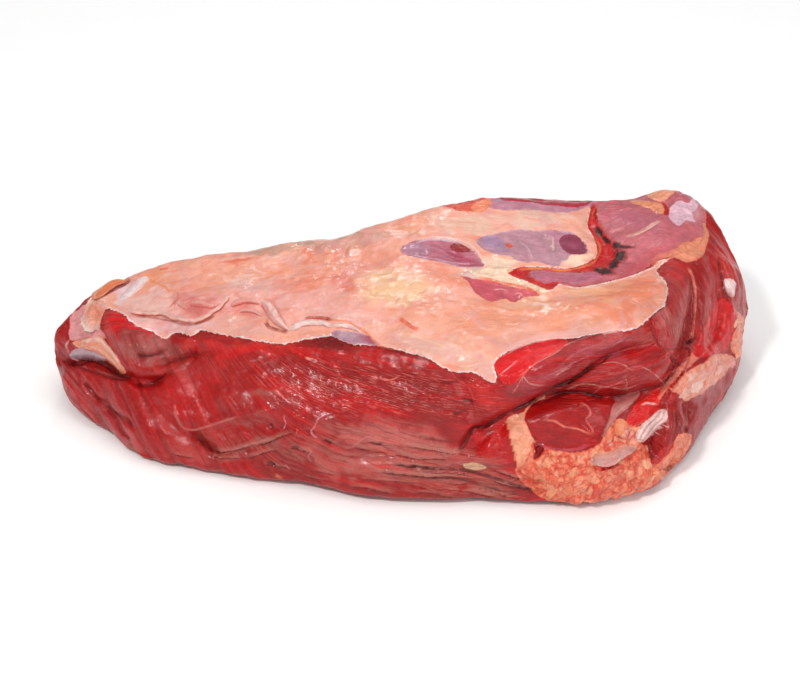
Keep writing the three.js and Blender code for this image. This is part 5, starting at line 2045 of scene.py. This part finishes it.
# Torn flaps, folds and tendons: (first path, second path, lifts, colours, settings).
FLAPS = [
    (
        [(258, 302), (262, 309), (266, 317), (272, 324), (281, 329), (290, 332)],
        [(265, 299), (271, 302), (276, 308), (280, 315), (285, 323), (292, 332)],
        [-0.6, 1.4, 2.6, 2.2, 0.8],
        [(230, 136, 128), (238, 160, 150), (244, 184, 176), (250, 208, 200), (240, 160, 152)],
        dict(ends=0.16, ripple=0.4, seed=1),
    ),
    (
        [(288, 327), (296, 322), (304, 320), (310, 319), (322, 320), (331, 323)],
        [(290, 333), (299, 329), (306, 326), (324, 326), (328, 328), (335, 329)],
        [0.2, 1.3, 1.1, 0.3], [(244, 190, 180), (252, 222, 214), (250, 212, 204), (238, 170, 160)],
        dict(ends=0.1, ripple=0.3, ragged=0.8, seed=2),
    ),
    (
        [(330, 326), (337, 323), (348, 323), (354, 326), (364, 333)],
        [(333, 329), (340, 328), (348, 329), (356, 331), (364, 335)],
        [0.2, 1.2, 0.9, 0.2], [(244, 190, 178), (250, 216, 206), (244, 196, 186), (234, 160, 146)],
        dict(ends=0.2, ripple=0.2, ragged=0.6, seed=3),
    ),
    (
        offset_path(TORN_EDGE, (-1, -6)), TORN_EDGE,
        [-0.7, 0.5, 1.1, 1.0], [(234, 166, 154), (240, 182, 170), (246, 196, 184), (238, 128, 108)],
        dict(ends=0.06, ripple=0.35, ragged=1.0, seed=4),
    ),
    (
        [(186, 302), (194, 299), (203, 300), (213, 303), (222, 301)],
        [(184, 308), (194, 308), (204, 309), (214, 309), (223, 305)],
        [-0.7, 1.2, 1.4, -0.5], [(236, 150, 140), (240, 164, 152), (230, 126, 118), (226, 110, 104)],
        dict(ends=0.3, ripple=0.4, seed=5),
    ),
    (
        [(226, 306), (234, 300), (244, 298), (254, 299), (262, 302)],
        [(228, 311), (236, 307), (246, 304), (256, 305), (264, 309)],
        [-0.7, 1.3, 1.6, -0.3], [(236, 150, 140), (244, 176, 166), (232, 132, 122), (226, 108, 100)],
        dict(ends=0.3, ripple=0.4, seed=6),
    ),
    (
        [(236, 310), (246, 308), (256, 310), (266, 316)],
        [(236, 314), (246, 313), (256, 315), (265, 321)],
        [-0.7, 0.9, 0.9, -0.5], [(238, 160, 152), (244, 180, 172), (236, 146, 136), (230, 120, 112)],
        dict(ends=0.3, ripple=0.3, seed=7),
    ),
    (
        [(92, 293), (101, 287), (110, 281), (118, 279), (127, 280)],
        [(92, 301), (99, 298), (108, 292), (117, 286), (128, 282)],
        [0.4, 1.6, 2.0, 1.6], [(236, 148, 104), (236, 138, 96), (230, 120, 82), (240, 160, 124)],
        dict(ends=0.15, ripple=0.3, ragged=0.8, seed=8),
    ),
    (
        [(158, 272), (148, 283), (138, 293), (127, 302)],
        [(142, 272), (131, 284), (121, 294), (112, 303)],
        [-0.6, 0.7, 1.3, 0.8, -0.6],
        [(238, 176, 158), (246, 206, 200), (252, 230, 230), (246, 214, 216), (238, 176, 162)],
        dict(ends=0.3, ripple=0.4, ragged=0.6, seed=9),
    ),
    (
        [(92, 301), (98, 300), (104, 303), (107, 308)],
        [(80, 318), (82, 326), (88, 332), (100, 328)],
        [[0.0, 0.5, 1.0, 1.5], [0.1, 1.0, 1.3, 1.9], [0.0, 0.7, 1.4, 1.6]],
        [(240, 176, 160), (236, 148, 122), (238, 164, 144), (250, 222, 212)],
        dict(ends=0.16, ripple=0.6, ragged=2.4, seed=10),
    ),
    (
        [(78, 340), (88, 337), (99, 335), (109, 345), (117, 356), (125, 371)],
        [(76, 346), (88, 350), (98, 353), (106, 359), (113, 365), (122, 376)],
        [-0.4, 0.9, 0.8, 1.1, 0.2],
        [(236, 140, 110), (250, 206, 190), (240, 150, 120), (246, 178, 156), (226, 110, 84)],
        dict(ends=0.15, ripple=0.6, ragged=0.8, seed=11),
    ),
    (
        [(71, 353), (78, 349), (90, 349), (101, 354), (109, 359)],
        [(71, 358), (80, 360), (90, 360), (99, 361), (109, 361)],
        [-0.3, 0.8, 0.7, -0.3], [(204, 166, 170), (192, 162, 172), (178, 144, 156), (176, 112, 112)],
        dict(ends=0.2, ripple=0.3, ragged=0.8, seed=12),
    ),
    # A tendon in cords, painted lighter on their raised crests as highlights.
    (
        [(659, 409), (650, 417), (642, 425), (636, 436), (638, 442)],
        [(668, 408), (668, 419), (660, 426), (652, 435), (642, 444)],
        [-0.4, 2.0, 0.9, 2.6, 1.1, 2.0, -0.5],
        [(246, 190, 180), (254, 230, 226), (232, 160, 154), (255, 236, 232), (236, 166, 160), (252, 218, 214),
         (240, 170, 150)],
        dict(ends=0.15, ripple=0.35, seed=13),
    ),
    (
        [(589, 457), (597, 453), (610, 451), (620, 447), (637, 446)],
        [(592, 464), (604, 467), (614, 465), (624, 458), (637, 450)],
        [-0.5, 1.6, 2.2, 2.0], [(236, 160, 136), (218, 156, 142), (208, 152, 146), (232, 172, 160)],
        dict(ends=0.15, ripple=0.3, seed=14),
    ),
    (
        [(722, 279), (728, 278), (734, 282), (736, 292)],
        [(724, 288), (727, 294), (730, 297), (734, 298)],
        [-0.3, 1.8, 2.0, -0.2], [(246, 190, 186), (252, 226, 224), (250, 214, 212), (238, 150, 140)],
        dict(ends=0.2, ripple=0.4, seed=15),
    ),
    (
        [(626, 237), (636, 233), (648, 227), (656, 222), (664, 219)],
        [(627, 239), (637, 236), (649, 230), (657, 225), (664, 221)],
        [-0.5, 0.5, -0.5], [(224, 150, 140), (240, 190, 170), (220, 140, 136)],
        dict(ends=0.3, ripple=0.2, seed=16),
    ),
    (
        [(612, 399), (622, 396), (634, 391), (642, 392)],
        [(604, 438), (609, 426), (617, 414), (634, 402)],
        [[-0.5, 0.9, 1.0, 0.5], [-0.5, 1.2, 1.2, 0.6]],
        [(190, 90, 88), (204, 120, 116), (214, 136, 128), (236, 160, 136)],
        dict(ends=0.12, ripple=0.3, seed=17),
    ),
]

# Fat in rounded lobules: (outline, spacing in pixels, least and greatest size in pixels, turn, rise).
LOBULES = [
    (FAT_BED, 26, (6, 12), None, 1.3),
    (PINK_PAD, 10, (6, 12), 128, 0.9),
    (RIGHT_EDGE_FAT, 10, (4, 7), 110, 0.9),
]
LOBULE_TINTS = [
    (244, 156, 116), (240, 132, 96), (246, 168, 132), (236, 112, 84), (240, 144, 108), (226, 84, 64),
]
LOBULE_SEED = 50
LOBULE_MARGIN = 1.5
LOBULE_HEIGHTS = (0.5, 0.85)
LOBULE_LEAN = 16
LOBULE_CROWNS = (0.7, 1.2)
LOBULE_RIM_SHADE = (0.96, 0.66, 0.62)
LOBULE_SUNK = -1.2
LOBULE_SHOULDER = 0.3
LOBULE_SEEDS = 97
PAD_TINTS = [(240, 176, 160), (236, 160, 142), (244, 190, 178), (230, 132, 116)]


def lobules(surface):
    sheets = []
    for seed, (outline, spacing, sizes, turn, rise) in enumerate(LOBULES):
        random = np.random.default_rng(LOBULE_SEED + seed)
        tints = PAD_TINTS if outline is PINK_PAD else LOBULE_TINTS
        for centre in scatter(outline, spacing, LOBULE_MARGIN, seed):
            wide = random.uniform(*sizes)
            high = wide * random.uniform(*LOBULE_HEIGHTS)
            sway = random.uniform(0, 180) if turn is None else random.uniform(-LOBULE_LEAN, LOBULE_LEAN)
            crown = rise * wide / sizes[1] * random.uniform(*LOBULE_CROWNS)
            tint = tints[random.integers(len(tints))]
            deep = tuple(int(level * share) for level, share in zip(tint, LOBULE_RIM_SHADE))
            first, second = oval(centre, (wide, high), (turn or 0) + sway)
            shoulder = LOBULE_SHOULDER * crown
            sheets.append(lay(
                surface, first, second, [LOBULE_SUNK, shoulder, crown, shoulder, LOBULE_SUNK],
                [deep, tint, tint, tint, deep], ends=0.45, ripple=0.5, seed=len(sheets) % LOBULE_SEEDS,
            ))
    return sheets


def laid_finish():
    f = Finish("laid")
    place = f.place()
    grain = f.attribute("grain")
    tint = f.attribute("tint", "Color")
    streak = f.noise(f.scaled(grain, (0.22, 1.3, 1)), 1, 3, distortion=0.4)
    speck = f.noise(place, 1.3, 3)
    blot = f.noise(place, 5, 3)
    colour = f.varied(tint, streak, 0.84, 1.12)
    colour = f.blend(f.ramp(blot, 0.5, 0.75, 0, 0.45), colour, tone(226, 96, 80))
    colour = f.blend(f.ramp(speck, 0.6, 0.8, 0, 0.3), colour, tone(252, 226, 214))
    height = f.sum(f.product(streak, 0.9), f.product(speck, 0.5))
    wet = f.sum(f.product(streak, 0.2), f.product(speck, 0.06))
    return f.finish(colour, f.ramp(speck, 0.3, 0.7, 0.26, 0.5, smooth=False), height, wet, **MOIST)


# The studio: a plain pale floor, pale light from all round, a soft key from the upper left and a fill.
FLOOR_HALF = 4
LIGHTS = [
    dict(name="key", at=(-0.7, -1.0, 1.7), size=0.24, power=20, colour=(1, 0.99, 0.97)),
    dict(name="top", at=(0.2, 0.5, 2.2), size=2.2, power=23.5, colour=(1, 1, 1)),
    dict(name="fill", at=(1.4, -0.8, 0.9), size=0.9, power=11, colour=(0.98, 0.99, 1)),
    dict(name="front", at=(0.1, -1.9, 0.5), size=1.2, power=5.5, colour=(1, 1, 1)),
    dict(name="back", at=(-0.2, 1.7, 1.35), size=0.16, power=4, colour=(1, 1, 1)),
]
WORLD_LIGHT = 0.25


def add_floor():
    mesh = bpy.data.meshes.new("floor")
    corners = [(-1, -1), (1, -1), (1, 1), (-1, 1)]
    mesh.from_pydata([(x * FLOOR_HALF, y * FLOOR_HALF, 0) for x, y in corners], [], [(0, 1, 2, 3)])
    floor = add_object("floor", mesh)
    f = Finish("floor")
    f.finish((0.97, 0.97, 0.97, 1), 0.7, f.product(f.noise(f.place(), 3, 2), 0.02), Specular_IOR_Level=0.2)
    mesh.materials.append(f.material)


def add_lights():
    world = bpy.data.worlds.new("world")
    world.use_nodes = True
    background = world.node_tree.nodes["Background"]
    background.inputs["Color"].default_value = (1, 1, 1, 1)
    background.inputs["Strength"].default_value = WORLD_LIGHT
    bpy.context.scene.world = world
    for light in LIGHTS:
        data = bpy.data.lights.new(light["name"], "AREA")
        data.size = light["size"]
        data.energy = light["power"]
        data.color = light["colour"]
        lamp = add_object(light["name"], data)
        lamp.location = light["at"]
        lamp.rotation_euler = (-Vector(light["at"])).to_track_quat("-Z", "Y").to_euler()


add_camera()
skin, pieces = make_body()
meat = meat_finish()
for piece in pieces:
    piece.data.materials.append(meat)
surface = Surface(skin)
laid = laid_finish()
flaps = [lay(surface, *entry, **settings) for *entry, settings in FLAPS]
pieces.append(join_laid("meat_flaps", flaps, laid))
pieces.append(join_laid("meat_lobules", lobules(surface), laid))
for piece in pieces:
    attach(piece, "root")
    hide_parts("roast")
add_floor()
add_lights()
bpy.context.scene.view_settings.view_transform = "Standard"
